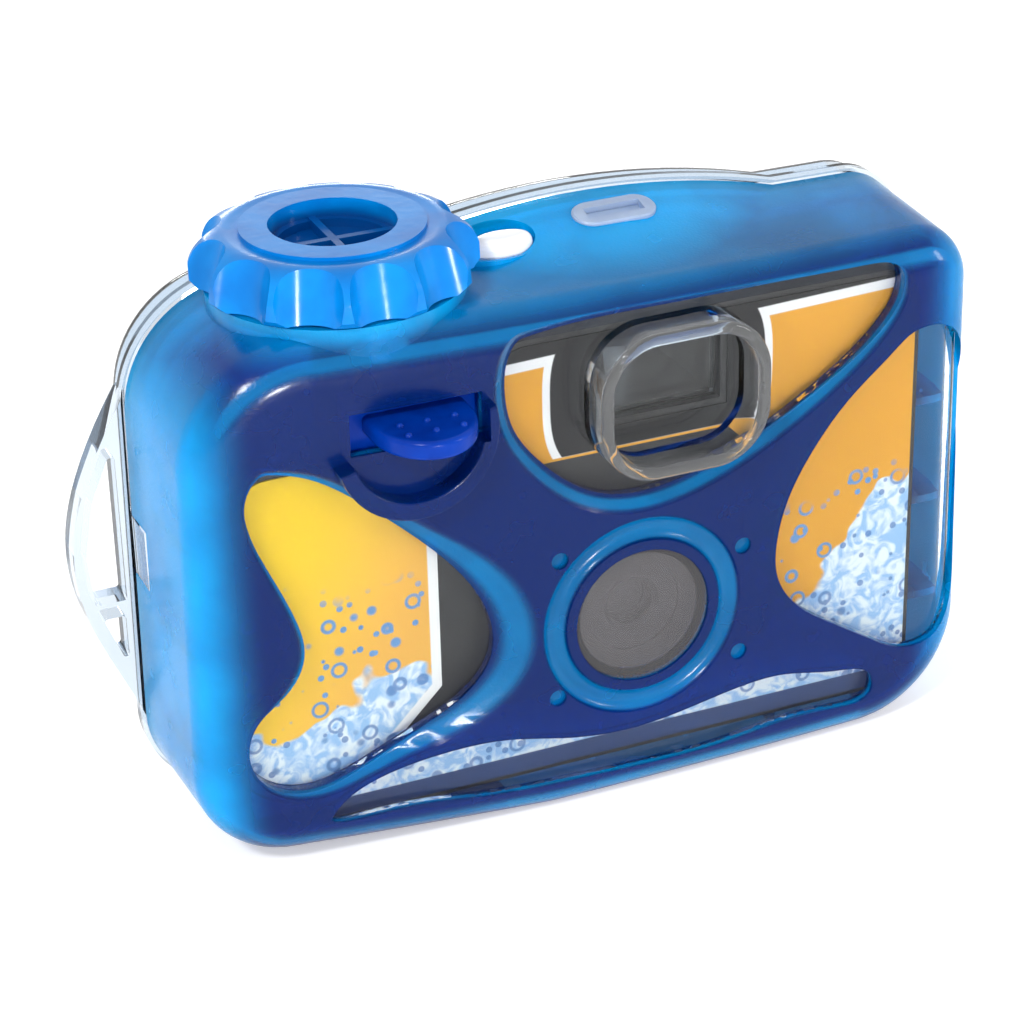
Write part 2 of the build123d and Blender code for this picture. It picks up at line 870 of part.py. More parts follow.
# Winding knob, fluted round its side, with a stepped hole and crossed ribs in its top
knob_arc_top = knob_height - knob_ring_step
knob_floor_top = knob_cavity + knob_floor
cavity_radius = knob_radius - flute_depth - knob_wall
arc_width = knob_radius - knob_shoulder_radius
flute_axis = knob_radius + flute_radius - flute_depth
flute_lean = atan2(flute_top_inset - flute_depth, knob_height)
with BuildPart() as flute:
    with BuildSketch(
        Plane(origin=(flute_axis, 0, 0), x_dir=(0, 1, 0), z_dir=(-sin(flute_lean), 0, cos(flute_lean)))
    ):
        Circle(flute_radius)
    extrude(amount=knob_height + overrun, both=True)

with BuildPart() as wind_knob:
    with BuildSketch(Plane((0, 0, 0), x_dir=(1, 0, 0), z_dir=(0, -1, 0))):
        with BuildLine():
            Polyline(
                (cavity_radius, 0),
                (cavity_radius, knob_cavity),
                (0, knob_cavity),
                (0, knob_floor_top),
                (knob_hole_radius - knob_step_width, knob_floor_top),
                (knob_hole_radius - knob_step_width, knob_floor_top + knob_step_height),
                (knob_hole_radius, knob_floor_top + knob_step_height),
                (knob_hole_radius, knob_height),
                (knob_ring_radius, knob_height),
                (knob_ring_radius, knob_arc_top),
                (knob_shoulder_radius, knob_arc_top),
            )
            ThreePointArc(
                (knob_shoulder_radius, knob_arc_top),
                (
                    knob_shoulder_radius + arc_width * knob_bow_share,
                    knob_side_height + (knob_arc_top - knob_side_height) * knob_bow_share,
                ),
                (knob_radius, knob_side_height),
            )
            Polyline(
                (knob_radius, knob_side_height),
                (knob_radius, knob_lip),
                (knob_radius - knob_lip, 0),
                (cavity_radius, 0),
            )
        make_face()
    revolve(axis=Axis.Z)
    with BuildSketch(Plane.XY.offset(knob_floor_top)):
        for turn in range(knob_rib_count):
            with Locations(Location((0, 0, 0), (0, 0, turn * 180 / knob_rib_count))):
                Rectangle(2 * knob_hole_radius, knob_rib)
    extrude(amount=knob_height - knob_rib_drop - knob_floor_top)
    with BuildSketch(Plane.XY.offset(knob_cavity)):
        Rectangle(knob_key, knob_key)
    extrude(amount=knob_floor, mode=Mode.SUBTRACT)
    with PolarLocations(0, flute_count):
        add(flute.part, mode=Mode.SUBTRACT)
knob_place = Location((knob_x, knob_y, knob_bottom))

with BuildPart() as wind_shaft:
    add(disc(knob_x, knob_y, shaft_radius, thumbwheel_top, knob_bottom + knob_cavity))
    key_half = knob_key / 2 - seal_clearance
    add(
        block(
            knob_x - key_half, knob_x + key_half, knob_y - key_half, knob_y + key_half,
            thumbwheel_top - tang_depth, knob_bottom + knob_floor_top,
        )
    )
wind_shaft.part.label = "wind_shaft"

with BuildPart() as knob_seal:
    add(disc(knob_x, knob_y, shaft_radius + seal_width - seal_clearance, neck_top - seal_height, neck_top))
    seal_hole = shaft_radius + seal_clearance
    add(disc(knob_x, knob_y, seal_hole, neck_top - seal_height, neck_top), mode=Mode.SUBTRACT)
knob_seal.part.label = "knob_seal"

with BuildPart() as thumbwheel:
    add(disc(knob_x, knob_y, thumbwheel_radius, thumbwheel_bottom, thumbwheel_top))
    with BuildSketch(Plane.XY.offset(thumbwheel_bottom)):
        with Locations((knob_x, knob_y)):
            with PolarLocations(thumbwheel_radius, thumbwheel_teeth):
                Circle(knurl_radius)
    extrude(amount=thumbwheel_height, mode=Mode.SUBTRACT)
    with BuildSketch(Plane.XY.offset(thumbwheel_top - tang_depth)):
        with Locations((knob_x, knob_y)):
            Rectangle(knob_key, knob_key)
    extrude(amount=tang_depth, mode=Mode.SUBTRACT)
    add(
        block(
            knob_x - spool_neck + seat_gap, knob_x + spool_neck - seat_gap,
            knob_y - tang_width / 2, knob_y + tang_width / 2,
            thumbwheel_bottom - tang_depth, thumbwheel_bottom,
        )
    )
thumbwheel.part.label = "thumbwheel"

# The film's cartridge and its spool
spool_top = thumbwheel_bottom - seat_gap
with BuildPart() as cartridge_spool:
    flange_low = cartridge_bottom + 2 * cartridge_skin
    flange_high = cartridge_top - 2 * cartridge_skin
    add(disc(knob_x, knob_y, spool_radius, flange_low, flange_high))
    add(disc(knob_x, knob_y, spool_neck, cartridge_bottom - seat_gap, spool_top))
    slot_half = tang_width / 2 + seat_gap
    add(
        block(
            knob_x - spool_neck, knob_x + spool_neck, knob_y - slot_half, knob_y + slot_half,
            spool_top - tang_depth - seat_gap, spool_top,
        ),
        mode=Mode.SUBTRACT,
    )
cartridge_spool.part.label = "cartridge_spool"

with BuildPart() as film_cartridge:
    add(disc(knob_x, knob_y, cartridge_radius, cartridge_bottom, cartridge_top))
    add(block(lip_left, lip_right, lip_front, lip_back, cartridge_bottom, cartridge_top))
    add(
        disc(
            knob_x, knob_y, cartridge_radius - cartridge_skin,
            cartridge_bottom + cartridge_skin, cartridge_top - cartridge_skin,
        ),
        mode=Mode.SUBTRACT,
    )
    add(disc(knob_x, knob_y, spool_neck + seat_gap, 0, camera_top), mode=Mode.SUBTRACT)
    add(
        block(
            lip_left, lip_right, film_front - seat_gap, film_front + film_thickness + seat_gap,
            lens_z - film_width / 2 - seat_gap, lens_z + film_width / 2 + seat_gap,
        ),
        mode=Mode.SUBTRACT,
    )
film_cartridge.part.label = "film_cartridge"

with BuildPart() as film_strip:
    add(
        block(
            lip_left + cartridge_skin * 2, roll_x, film_front, film_front + film_thickness,
            lens_z - film_width / 2, lens_z + film_width / 2,
        )
    )
film_strip.part.label = "film_strip"

with BuildPart() as film_roll:
    add(disc(roll_x, roll_y, roll_radius, lens_z - film_width / 2, lens_z + film_width / 2))
    add(disc(roll_x, roll_y, roll_core, 0, camera_top), mode=Mode.SUBTRACT)
film_roll.part.label = "film_roll"

with BuildPart() as roll_spindle:
    add(disc(roll_x, roll_y, roll_core, chamber_low, chamber_high))
    add(disc(roll_x, roll_y, roll_core - chamber_wall, chamber_low, chamber_high), mode=Mode.SUBTRACT)
roll_spindle.part.label = "roll_spindle"

# The camera's front and back shells
camera_inner_front = -camera_front_depth + skin
release_clearance = release_radius + seat_gap
with BuildPart() as camera_front:
    add(camera_block(0, -camera_front_depth, camera_split_depth))
    add(camera_block(skin, camera_inner_front, camera_split_depth), mode=Mode.SUBTRACT)
    add(bar(lens_x, lens_z, nose_radius, -camera_front_depth - nose_reach, camera_inner_front))
    add(bar(lens_x, lens_z, barrel_radius, camera_inner_front, -barrel_depth))
    retainer_seat = -retainer_depth + retainer_thickness
    lens_seat = -lens_depth + lens_thickness
    add(bar(lens_x, lens_z, retainer_radius + seat_gap, pane_front, retainer_seat), mode=Mode.SUBTRACT)
    add(bar(lens_x, lens_z, lens_radius + pivot_clearance, pane_front, lens_seat), mode=Mode.SUBTRACT)
    add(bar(lens_x, lens_z, lens_radius - lens_lip, pane_front, 0), mode=Mode.SUBTRACT)
    # Wall on the outer side of the cartridge's chamber
    chamber_left = knob_x - cartridge_radius - chamber_gap
    add(
        block(
            chamber_left - chamber_wall, chamber_left, camera_inner_front, camera_split_depth,
            camera_floor + skin, chamber_high,
        )
    )
    finder_left = finder_x - finder_width / 2
    finder_right = finder_x + finder_width / 2
    finder_low = finder_z - finder_height / 2
    finder_high = finder_z + finder_height / 2
    add(block(finder_left, finder_right, pane_front, 0, finder_low, finder_high), mode=Mode.SUBTRACT)
    spring_stud = spring_radius - spring_wire
    add(disc(arm_x, spring_y, spring_stud, camera_shoulder - skin / 2, camera_shoulder + spring_post))
    add(disc(knob_x, knob_y, shaft_radius + running_gap, chamber_high, knob_top), mode=Mode.SUBTRACT)
    add(disc(button_x, button_y, release_clearance, post_top, hump_height), mode=Mode.SUBTRACT)
    with BuildSketch(Plane.XY.offset(camera_top - skin * 2)):
        with Locations((counter_x, counter_y)):
            SlotOverall(counter_length - wall, counter_breadth - wall / 2)
    extrude(amount=skin * 2, mode=Mode.SUBTRACT)
camera_front.part.label = "camera_front"

camera_inner_back = camera_back_depth - skin
pressure_front = film_front + film_thickness + rail_gap
pressure_back = pressure_front + pressure_thickness
with BuildPart() as camera_back:
    add(camera_block(0, camera_split_depth, camera_back_depth))
    add(camera_block(skin, camera_split_depth, camera_inner_back), mode=Mode.SUBTRACT)
    for side in (-1, 1):
        pad_x = lens_x + side * pad_offset
        add(
            block(
                pad_x - pad_width / 2, pad_x + pad_width / 2, pressure_back + pad_gap, camera_inner_back,
                lens_z - pad_height / 2, lens_z + pad_height / 2,
            )
        )
    add(
        block(
            finder_x - finder_eye_width / 2, finder_x + finder_eye_width / 2,
            camera_split_depth, camera_back_depth,
            finder_z - finder_eye_height / 2, finder_z + finder_eye_height / 2,
        ),
        mode=Mode.SUBTRACT,
    )
camera_back.part.label = "camera_back"

# Chassis: gate plate, light tunnel, lens board, chamber walls, top shelf and finder tube
plate_front = film_front - rail_gap - plate_thickness
plate_back = film_front - rail_gap
plate_left = knob_x + cartridge_radius + chamber_gap
plate_right = camera_right - skin - running_gap
plate_low = camera_floor + skin + running_gap / 2
plate_high = camera_shoulder - skin - running_gap
wall_front = camera_inner_front + running_gap
cartridge_side = cartridge_radius + chamber_gap
roll_side = roll_radius + chamber_gap
roll_left = roll_x - roll_side
roll_right = roll_x + roll_side
roll_wall = (roll_left - lens_x - gate_width / 2 - rail_gap) / 2
board_back = -board_depth + board_thickness
with BuildPart() as camera_chassis:
    add(block(plate_left, plate_right, plate_front, plate_back, plate_low, plate_high))
    add(
        block(
            camera_step_x + skin + running_gap, plate_right, plate_front, plate_back,
            plate_low, camera_top - skin - running_gap,
        )
    )
    add(
        block(
            roll_left, roll_right, plate_front, plate_back,
            lens_z - film_width / 2 - running_gap, lens_z + film_width / 2 + running_gap,
        ),
        mode=Mode.SUBTRACT,
    )
    for wall_left, width in (
        (knob_x + cartridge_side, chamber_wall),
        (roll_left - roll_wall, roll_wall),
        (roll_right, chamber_wall),
    ):
        add(block(wall_left, wall_left + width, wall_front, plate_front, chamber_low, chamber_high))
    add(
        block(
            knob_x + cartridge_side, roll_left, -rib_depth, plate_front,
            shelf_plate_z, shelf_plate_z + shelf_plate_thickness,
        )
    )
    # Light tunnel and lens board
    with BuildSketch(at_y(plate_front)):
        with Locations((lens_x, lens_z)):
            Rectangle(gate_width + 2 * roll_wall, gate_height + 2 * chamber_wall)
    with BuildSketch(at_y(board_back)):
        with Locations((lens_x, lens_z)):
            Rectangle(baffle_width + 2 * chamber_wall, baffle_height + 2 * chamber_wall)
    loft(ruled=True)
    with BuildSketch(at_y(-board_depth)):
        with Locations((lens_x, lens_z)):
            Rectangle(2 * board_half, 2 * board_half)
    extrude(amount=-board_thickness)
    with BuildSketch(at_y(plate_front)):
        with Locations((lens_x, lens_z)):
            Rectangle(gate_width, gate_height)
    with BuildSketch(at_y(board_back)):
        with Locations((lens_x, lens_z)):
            Rectangle(baffle_width, baffle_height)
    loft(ruled=True, mode=Mode.SUBTRACT)
    with BuildSketch(at_y(plate_front)):
        with Locations((lens_x, lens_z)):
            Rectangle(gate_width, gate_height)
    extrude(amount=-plate_thickness, mode=Mode.SUBTRACT)
    add(bar(lens_x, lens_z, aperture_radius, -front_depth, 0), mode=Mode.SUBTRACT)
    add(bar(pivot_x, pivot_z, pivot_radius, -board_depth - pivot_length, board_back))
    # Sprocket's slot and bearing
    sprocket_y = film_front - seat_gap - sprocket_radius - sprocket_tooth
    sprocket_reach = sprocket_radius + sprocket_tooth + running_gap
    add(
        block(
            sprocket_x - sprocket_reach, sprocket_x + sprocket_reach, plate_front, plate_back,
            sprocket_z - running_gap, sprocket_z + sprocket_height + running_gap,
        ),
        mode=Mode.SUBTRACT,
    )
    sprocket_bore = sprocket_axle + pivot_clearance
    add(disc(sprocket_x, sprocket_y, sprocket_bore, sprocket_z, chamber_high), mode=Mode.SUBTRACT)
    # Finder tube, the counter's pin and the post of the release
    add(
        block(
            finder_left - wall / 2, finder_right + wall / 2, wall_front, camera_inner_back - running_gap,
            finder_low - wall / 2, finder_high + wall / 2,
        )
    )
    add(disc(counter_x, dial_y, dial_pin, finder_high + wall / 4, dial_bottom + dial_thickness + seat_gap))
    add(disc(button_x, button_y, post_radius, shelf_plate_z, post_top))
    plunger_bore = plunger_radius + pivot_clearance
    add(disc(button_x, button_y, plunger_bore, post_floor, post_top), mode=Mode.SUBTRACT)
    add(
        block(finder_left, finder_right, wall_front, camera_inner_back, finder_low, finder_high),
        mode=Mode.SUBTRACT,
    )
    add(camera_block(skin + seat_gap, camera_inner_front, camera_inner_back), mode=Mode.INTERSECT)
camera_chassis.part.label = "camera_chassis"

# Printed card over the camera's front
with BuildPart() as label_card:
    add(camera_block(card_margin, -camera_front_depth - card_thickness, -camera_front_depth))
    with BuildSketch(at_y(-camera_front_depth)) as card_hole:
        with BuildLine():
            Polyline(
                (card_left_edge - card_cut, card_low_edge),
                (card_right_edge - card_cut / 2, card_low_edge),
                (card_right_edge, card_low_edge + card_cut / 2),
                (card_right_edge, card_high_edge - card_cut / 2),
                (card_right_edge - card_cut / 2, card_high_edge),
                (card_left_edge - card_cut, card_high_edge),
                (card_left_edge, card_high_edge - card_cut),
                (card_left_edge, card_low_edge + card_cut),
                (card_left_edge - card_cut, card_low_edge),
            )
        make_face()
    extrude(amount=card_thickness, mode=Mode.SUBTRACT)
    add(
        block(
            finder_left - wall / 2, finder_right + wall / 2, -front_depth, 0,
            finder_low - wall / 2, finder_high + wall / 2,
        ),
        mode=Mode.SUBTRACT,
    )
label_card.part.label = "label_card"

# Taking lens, its retainer and the shutter
lens_round = (lens_radius ** 2 + lens_bulge ** 2) / (2 * lens_bulge)
with BuildPart() as taking_lens:
    add(bar(lens_x, lens_z, lens_radius, -lens_depth - lens_bulge, -lens_depth + lens_thickness))
    with Locations((lens_x, -lens_depth - lens_bulge + lens_round, lens_z)):
        Sphere(lens_round, mode=Mode.INTERSECT)
taking_lens.part.label = "taking_lens"

with BuildPart() as lens_retainer:
    add(bar(lens_x, lens_z, retainer_radius, -retainer_depth, -retainer_depth + retainer_thickness))
    add(bar(lens_x, lens_z, retainer_hole, -front_depth, 0), mode=Mode.SUBTRACT)
    inner_rim = lens_retainer.faces().sort_by(Axis.Y)[0].edges().sort_by(SortBy.LENGTH)[0]
    chamfer(inner_rim, retainer_thickness / 2)
lens_retainer.part.label = "lens_retainer"

blade_back = -board_depth - blade_gap
blade_front = blade_back - blade_thickness
blade_span = hypot(pivot_x - lens_x, pivot_z - lens_z)
blade_lean = degrees(atan2(pivot_z - lens_z, pivot_x - lens_x))
with BuildPart() as shutter_blade:
    with BuildSketch(at_y(blade_front)):
        with Locations((lens_x, lens_z)):
            Circle(blade_radius)
        with Locations((pivot_x, pivot_z)):
            Circle(blade_arm)
        with Locations(Location(((lens_x + pivot_x) / 2, (lens_z + pivot_z) / 2, 0), (0, 0, blade_lean))):
            Rectangle(blade_span, blade_arm)
        with Locations((pivot_x, pivot_z)):
            Circle(pivot_radius + pivot_clearance, mode=Mode.SUBTRACT)
    extrude(amount=-blade_thickness)
shutter_blade.part.label = "shutter_blade"

with BuildPart() as shutter_spring:
    coil_front = -board_depth - pivot_length
    coil_length = blade_front - coil_front - shutter_wire - 2 * seat_gap
    with BuildLine():
        shutter_coil = Helix(
            pitch=coil_length / shutter_turns,
            height=coil_length,
            radius=shutter_coil_radius,
            center=(pivot_x, coil_front + shutter_wire / 2 + seat_gap, pivot_z),
            direction=(0, 1, 0),
        )
    with BuildSketch(Plane(origin=shutter_coil @ 0, z_dir=shutter_coil % 0)):
        Circle(shutter_wire / 2)
    sweep(is_frenet=True)
shutter_spring.part.label = "shutter_spring"

# Finder lenses
with BuildPart() as finder_front_lens:
    lens_front = wall_front + seat_gap
    add(
        block(
            finder_left + lens_pane_gap, finder_right - lens_pane_gap,
            lens_front, lens_front + finder_lens_thickness,
            finder_low + lens_pane_gap, finder_high - lens_pane_gap,
        )
    )
    with Locations((finder_x, lens_front + concave_depth - concave_radius, finder_z)):
        Sphere(concave_radius, mode=Mode.SUBTRACT)
finder_front_lens.part.label = "finder_front_lens"

with BuildPart() as finder_rear_lens:
    lens_back = camera_inner_back - running_gap - seat_gap
    add(
        block(
            finder_left + lens_pane_gap, finder_right - lens_pane_gap,
            lens_back - finder_lens_thickness, lens_back,
            finder_low + lens_pane_gap, finder_high - lens_pane_gap,
        )
    )
finder_rear_lens.part.label = "finder_rear_lens"

with BuildPart() as pressure_plate:
    add(
        block(
            lens_x - pressure_width / 2, lens_x + pressure_width / 2, pressure_front, pressure_back,
            lens_z - pressure_height / 2, lens_z + pressure_height / 2,
        )
    )
    fillet(pressure_plate.edges().filter_by(Axis.Y), card_cut / 2)
pressure_plate.part.label = "pressure_plate"

with BuildPart() as sprocket_wheel:
    add(disc(sprocket_x, sprocket_y, sprocket_radius, sprocket_z, sprocket_z + sprocket_height))
    with BuildSketch(Plane.XY.offset(sprocket_z)):
        with Locations((sprocket_x, sprocket_y)):
            with PolarLocations(sprocket_radius, sprocket_teeth):
                Rectangle(2 * sprocket_tooth, 2 * sprocket_tooth)
    extrude(amount=sprocket_height)
    add(disc(sprocket_x, sprocket_y, sprocket_axle, sprocket_z, shelf_plate_z + 2 * shelf_plate_thickness))
sprocket_wheel.part.label = "sprocket_wheel"

with BuildPart() as counter_dial:
    add(disc(counter_x, dial_y, dial_radius, dial_bottom, dial_bottom + dial_thickness))
    add(disc(counter_x, dial_y, dial_pin + pivot_clearance, 0, camera_top), mode=Mode.SUBTRACT)
counter_dial.part.label = "counter_dial"

with BuildPart() as release_button:
    add(
        disc(
            button_x, button_y, release_flange,
            release_flange_top - release_flange_thickness, release_flange_top,
        )
    )
    add(disc(button_x, button_y, release_radius, release_flange_top, arm_bottom - running_gap))
    add(disc(button_x, button_y, plunger_radius, plunger_bottom, release_flange_top))
release_button.part.label = "release_button"

# Shutter button, finger shelf and the arm that joins them above the camera
with BuildPart() as shutter_button:
    dome_bottom = well_floor_height + press_travel + button_lift
    with BuildSketch(Plane.XY.offset(dome_bottom)):
        with Locations((button_x, button_y)):
            Ellipse(button_length / 2, button_breadth / 2)
    extrude(amount=button_bulge)
    fillet(shutter_button.faces().sort_by(Axis.Z)[-1].edges(), button_round)
    add(disc(button_x, button_y, stem_radius, arm_top, dome_bottom + button_lift))
shutter_button.part.label = "shutter_button"

with BuildPart() as button_seal:
    seal_top = well_bottom + button_seal_height
    add(disc(button_x, button_y, stem_radius + seal_width - seal_clearance, well_bottom, seal_top))
    add(disc(button_x, button_y, stem_radius + seal_clearance, 0, hump_height), mode=Mode.SUBTRACT)
button_seal.part.label = "button_seal"

slide_half = cutout_half + slide_cover
slide_low = cutout_low - slide_cover
slide_high = shelf_top + cutout_above + press_travel + slide_cover
slide_back = -slide_depth + slide_thickness
shelf_middle = shelf_x + shelf_shift
arm_left = arm_x - arm_width / 2
arm_right = arm_x + arm_width / 2
with BuildPart() as shutter_trigger:
    add(block(shelf_x - slide_half, shelf_x + slide_half, -slide_depth, slide_back, slide_low, slide_high))
    with BuildSketch(Plane.XY.offset(shelf_bottom)):
        with Locations((shelf_middle, -front_depth)):
            Ellipse(shelf_width / 2, shelf_reach)
            Rectangle(shelf_width, front_depth, align=(Align.CENTER, Align.MIN), mode=Mode.SUBTRACT)
        with Locations((shelf_middle, -front_depth)):
            Rectangle(shelf_width, front_depth - slide_depth, align=(Align.CENTER, Align.MIN))
    extrude(amount=shelf_thickness)
    tip = shutter_trigger.edges().filter_by_position(
        Axis.Y, -front_depth - shelf_reach - overrun, -front_depth - seat_gap, inclusive=(False, True)
    )
    fillet(tip.filter_by(GeomType.ELLIPSE), shelf_edge)
    for across in (-1, 0, 1):
        for row in (0, 1):
            pimple_x = shelf_middle + across * pimple_pitch
            pimple_y = -front_depth - pimple_start - row * pimple_row
            with Locations((pimple_x, pimple_y, shelf_top)):
                Sphere(pimple_radius)
    add(block(arm_left, arm_right, slide_back, slide_back + slide_thickness, slide_low, arm_top))
    add(block(arm_left, arm_right, slide_back, arm_back, arm_bottom, arm_top))
    add(block(arm_x, arm_end, -arm_turn, arm_back, arm_bottom, arm_top))
shutter_trigger.part.label = "shutter_trigger"

with BuildPart() as trigger_spring:
    spring_height = arm_bottom - camera_shoulder - spring_wire - 2 * seal_clearance
    with BuildLine():
        coil = Helix(
            pitch=spring_height / spring_turns,
            height=spring_height,
            radius=spring_radius,
            center=(arm_x, spring_y, camera_shoulder + spring_wire / 2 + seal_clearance),
        )
    with BuildSketch(Plane(origin=coil @ 0, z_dir=coil % 0)):
        Circle(spring_wire / 2)
    sweep(is_frenet=True)
trigger_spring.part.label = "trigger_spring"

# Rear case: flange, rounded back, seal's spigot, strap loop, snap tongues and eyepiece frame
flange_back = parting_depth + flange_thickness
spigot_inset = wall + spigot_gap
ledge_inset = spigot_inset + spigot_thickness
with BuildPart() as rear_case:
    add(rim_slab(rear_inset, parting_depth, back_depth, rounding=rear_round))
    add(rim_slab(-flange_proud, parting_depth, flange_back))
    split(bisect_by=Plane.XY, keep=Keep.TOP)
    add(rim_slab(ledge_inset, parting_depth, flange_back), mode=Mode.SUBTRACT)
    add(rim_slab(rear_inset + wall, flange_back, back_depth - wall), mode=Mode.SUBTRACT)
    add(rim_slab(spigot_inset, parting_depth - spigot_depth, parting_depth, hump_fall))
    add(rim_slab(ledge_inset, parting_depth - spigot_depth, parting_depth, hump_fall), mode=Mode.SUBTRACT)
    # Room for the camera, for the knob's neck and for the button's well
    add(camera_block(-running_gap, parting_depth - spigot_depth, flange_back), mode=Mode.SUBTRACT)
    neck_room = neck_radius + running_gap
    well_room = well_length / 2 + well_ring + running_gap
    for room_x, room in ((knob_x, neck_room), (well_x, well_room)):
        add(
            block(
                room_x - room, room_x + room, parting_depth - spigot_depth, parting_depth,
                collar_top - wall - neck_drop - running_gap, hump_height,
            ),
            mode=Mode.SUBTRACT,
        )
    add(disc(knob_x, knob_y, knob_room, collar_top + seat_gap, hump_height + overrun), mode=Mode.SUBTRACT)
    # Strap loop
    with BuildSketch(at_y(parting_depth)):
        with BuildLine():
            Spline(*loop_edge)
            Polyline(loop_edge[-1], (loop_root, loop_low), (loop_root, loop_high), loop_edge[0])
        make_face()
        with BuildSketch(mode=Mode.SUBTRACT):
            with BuildLine():
                FilletPolyline(*loop_gap, radius=loop_round, close=True)
            make_face()
        with BuildSketch(mode=Mode.SUBTRACT):
            with BuildLine():
                FilletPolyline(*loop_web, radius=loop_round, close=True)
            make_face()
    extrude(amount=-loop_thickness)
    # Snap tongues
    for side in (-1, 1):
        tongue_edge = side * (tongue_side - tongue_thickness)
        add(
            block(
                min(tongue_edge, side * tongue_side), max(tongue_edge, side * tongue_side),
                parting_depth - tongue_length, flange_back,
                tongue_z - tongue_height / 2, tongue_z + tongue_height / 2,
            )
        )
    # Eyepiece frame
    with BuildSketch(at_y(back_depth)):
        with Locations((finder_x, finder_z)):
            RectangleRounded(eyepiece_width, eyepiece_height, eyepiece_round)
            RectangleRounded(
                eyepiece_width - 2 * eyepiece_wall, eyepiece_height - 2 * eyepiece_wall,
                eyepiece_round - eyepiece_wall, mode=Mode.SUBTRACT,
            )
    extrude(amount=-eyepiece_rise)
rear_case.part.label = "rear_case"

with BuildPart() as case_gasket:
    gasket_front = gasket_depth - gasket_thickness
    gasket_inset = wall + gasket_clearance
    add(rim_slab(gasket_inset, gasket_front, gasket_depth, hump_fall))
    add(rim_slab(gasket_inset + gasket_width, gasket_front, gasket_depth, hump_fall), mode=Mode.SUBTRACT)
case_gasket.part.label = "case_gasket"

os.makedirs("parts", exist_ok=True)
wind_knob_placed = wind_knob.part.moved(knob_place)
wind_knob_placed.label = "wind_knob"
export_step(wind_knob_placed, "parts/wind_knob.step")
export_step(front_case.part, "parts/front_case.step")
export_step(rear_case.part, "parts/rear_case.step")
export_step(left_window.part, "parts/left_window.step")
export_step(viewfinder_window.part, "parts/viewfinder_window.step")
export_step(right_window.part, "parts/right_window.step")
export_step(bottom_window.part, "parts/bottom_window.step")
export_step(lens_port.part, "parts/lens_port.step")
export_step(counter_window.part, "parts/counter_window.step")
export_step(wind_shaft.part, "parts/wind_shaft.step")
export_step(knob_seal.part, "parts/knob_seal.step")
export_step(thumbwheel.part, "parts/thumbwheel.step")
export_step(cartridge_spool.part, "parts/cartridge_spool.step")
export_step(film_cartridge.part, "parts/film_cartridge.step")
export_step(film_strip.part, "parts/film_strip.step")
export_step(film_roll.part, "parts/film_roll.step")
export_step(roll_spindle.part, "parts/roll_spindle.step")
export_step(camera_front.part, "parts/camera_front.step")
export_step(camera_back.part, "parts/camera_back.step")
export_step(camera_chassis.part, "parts/camera_chassis.step")
export_step(label_card.part, "parts/label_card.step")
export_step(taking_lens.part, "parts/taking_lens.step")
export_step(lens_retainer.part, "parts/lens_retainer.step")
export_step(shutter_blade.part, "parts/shutter_blade.step")
export_step(shutter_spring.part, "parts/shutter_spring.step")
export_step(finder_front_lens.part, "parts/finder_front_lens.step")
export_step(finder_rear_lens.part, "parts/finder_rear_lens.step")
export_step(pressure_plate.part, "parts/pressure_plate.step")
export_step(sprocket_wheel.part, "parts/sprocket_wheel.step")
export_step(counter_dial.part, "parts/counter_dial.step")
export_step(release_button.part, "parts/release_button.step")
export_step(shutter_button.part, "parts/shutter_button.step")
export_step(button_seal.part, "parts/button_seal.step")
export_step(shutter_trigger.part, "parts/shutter_trigger.step")
export_step(trigger_spring.part, "parts/trigger_spring.step")
export_step(case_gasket.part, "parts/case_gasket.step")
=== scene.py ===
# %% [markdown]
# A pocket film camera in a splash-proof housing
#
# The real object is two plastic half shells snapped together round a seal. The front half is a
# frosted, see-through blue; the back half is clear. A small black film camera with a printed
# card on its face sits inside and shows through polished windows. The solids come from the CAD
# frame, in metres, so this script gives them clean shading, finishes, a floor, lights and a view.

# %% Load the frame and remember its size
import json
from math import cos, pi, radians, sin

import bmesh
import bpy
from mathutils import Matrix, Vector


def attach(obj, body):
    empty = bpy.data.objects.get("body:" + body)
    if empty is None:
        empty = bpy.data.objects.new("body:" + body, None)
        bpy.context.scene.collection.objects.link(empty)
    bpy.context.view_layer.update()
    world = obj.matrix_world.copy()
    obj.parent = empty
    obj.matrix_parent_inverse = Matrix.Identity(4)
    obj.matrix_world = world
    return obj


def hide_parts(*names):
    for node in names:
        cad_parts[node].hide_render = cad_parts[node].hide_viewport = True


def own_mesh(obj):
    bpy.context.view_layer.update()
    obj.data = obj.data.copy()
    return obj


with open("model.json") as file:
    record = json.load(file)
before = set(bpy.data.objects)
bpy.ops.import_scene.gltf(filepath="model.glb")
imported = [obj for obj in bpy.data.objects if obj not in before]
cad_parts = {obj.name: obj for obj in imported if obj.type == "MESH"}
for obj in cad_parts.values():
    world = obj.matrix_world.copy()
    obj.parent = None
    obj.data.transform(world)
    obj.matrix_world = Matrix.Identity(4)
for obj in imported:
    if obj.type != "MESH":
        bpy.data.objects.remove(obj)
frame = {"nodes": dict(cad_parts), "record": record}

scene = bpy.context.scene
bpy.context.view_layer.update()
behaviour = frame["record"]["behaviour"]
body_of_node = {node: body for body, nodes in behaviour["bodies"].items() for node in nodes}
joints = {joint["name"]: joint for joint in behaviour["joints"]}

# %% [markdown]
# The camera comes first, because every later choice is judged through it. The eye was found by
# fitting straight edges of the housing to the photograph: it stands 438 mm away, a little to the
# left and above, and sees with a long lens. Building its matrix from three axes keeps the small
# roll of the photograph without any guesswork about Euler angles.

# %% Camera at the photograph's angle
TURN, RISE, ROLL = radians(22.54), radians(27.29), radians(1.42)
TARGET = Vector((-0.00516, 0.0, 0.03858))
DISTANCE = 0.43779
LENS = 3000 / 1024 * 36

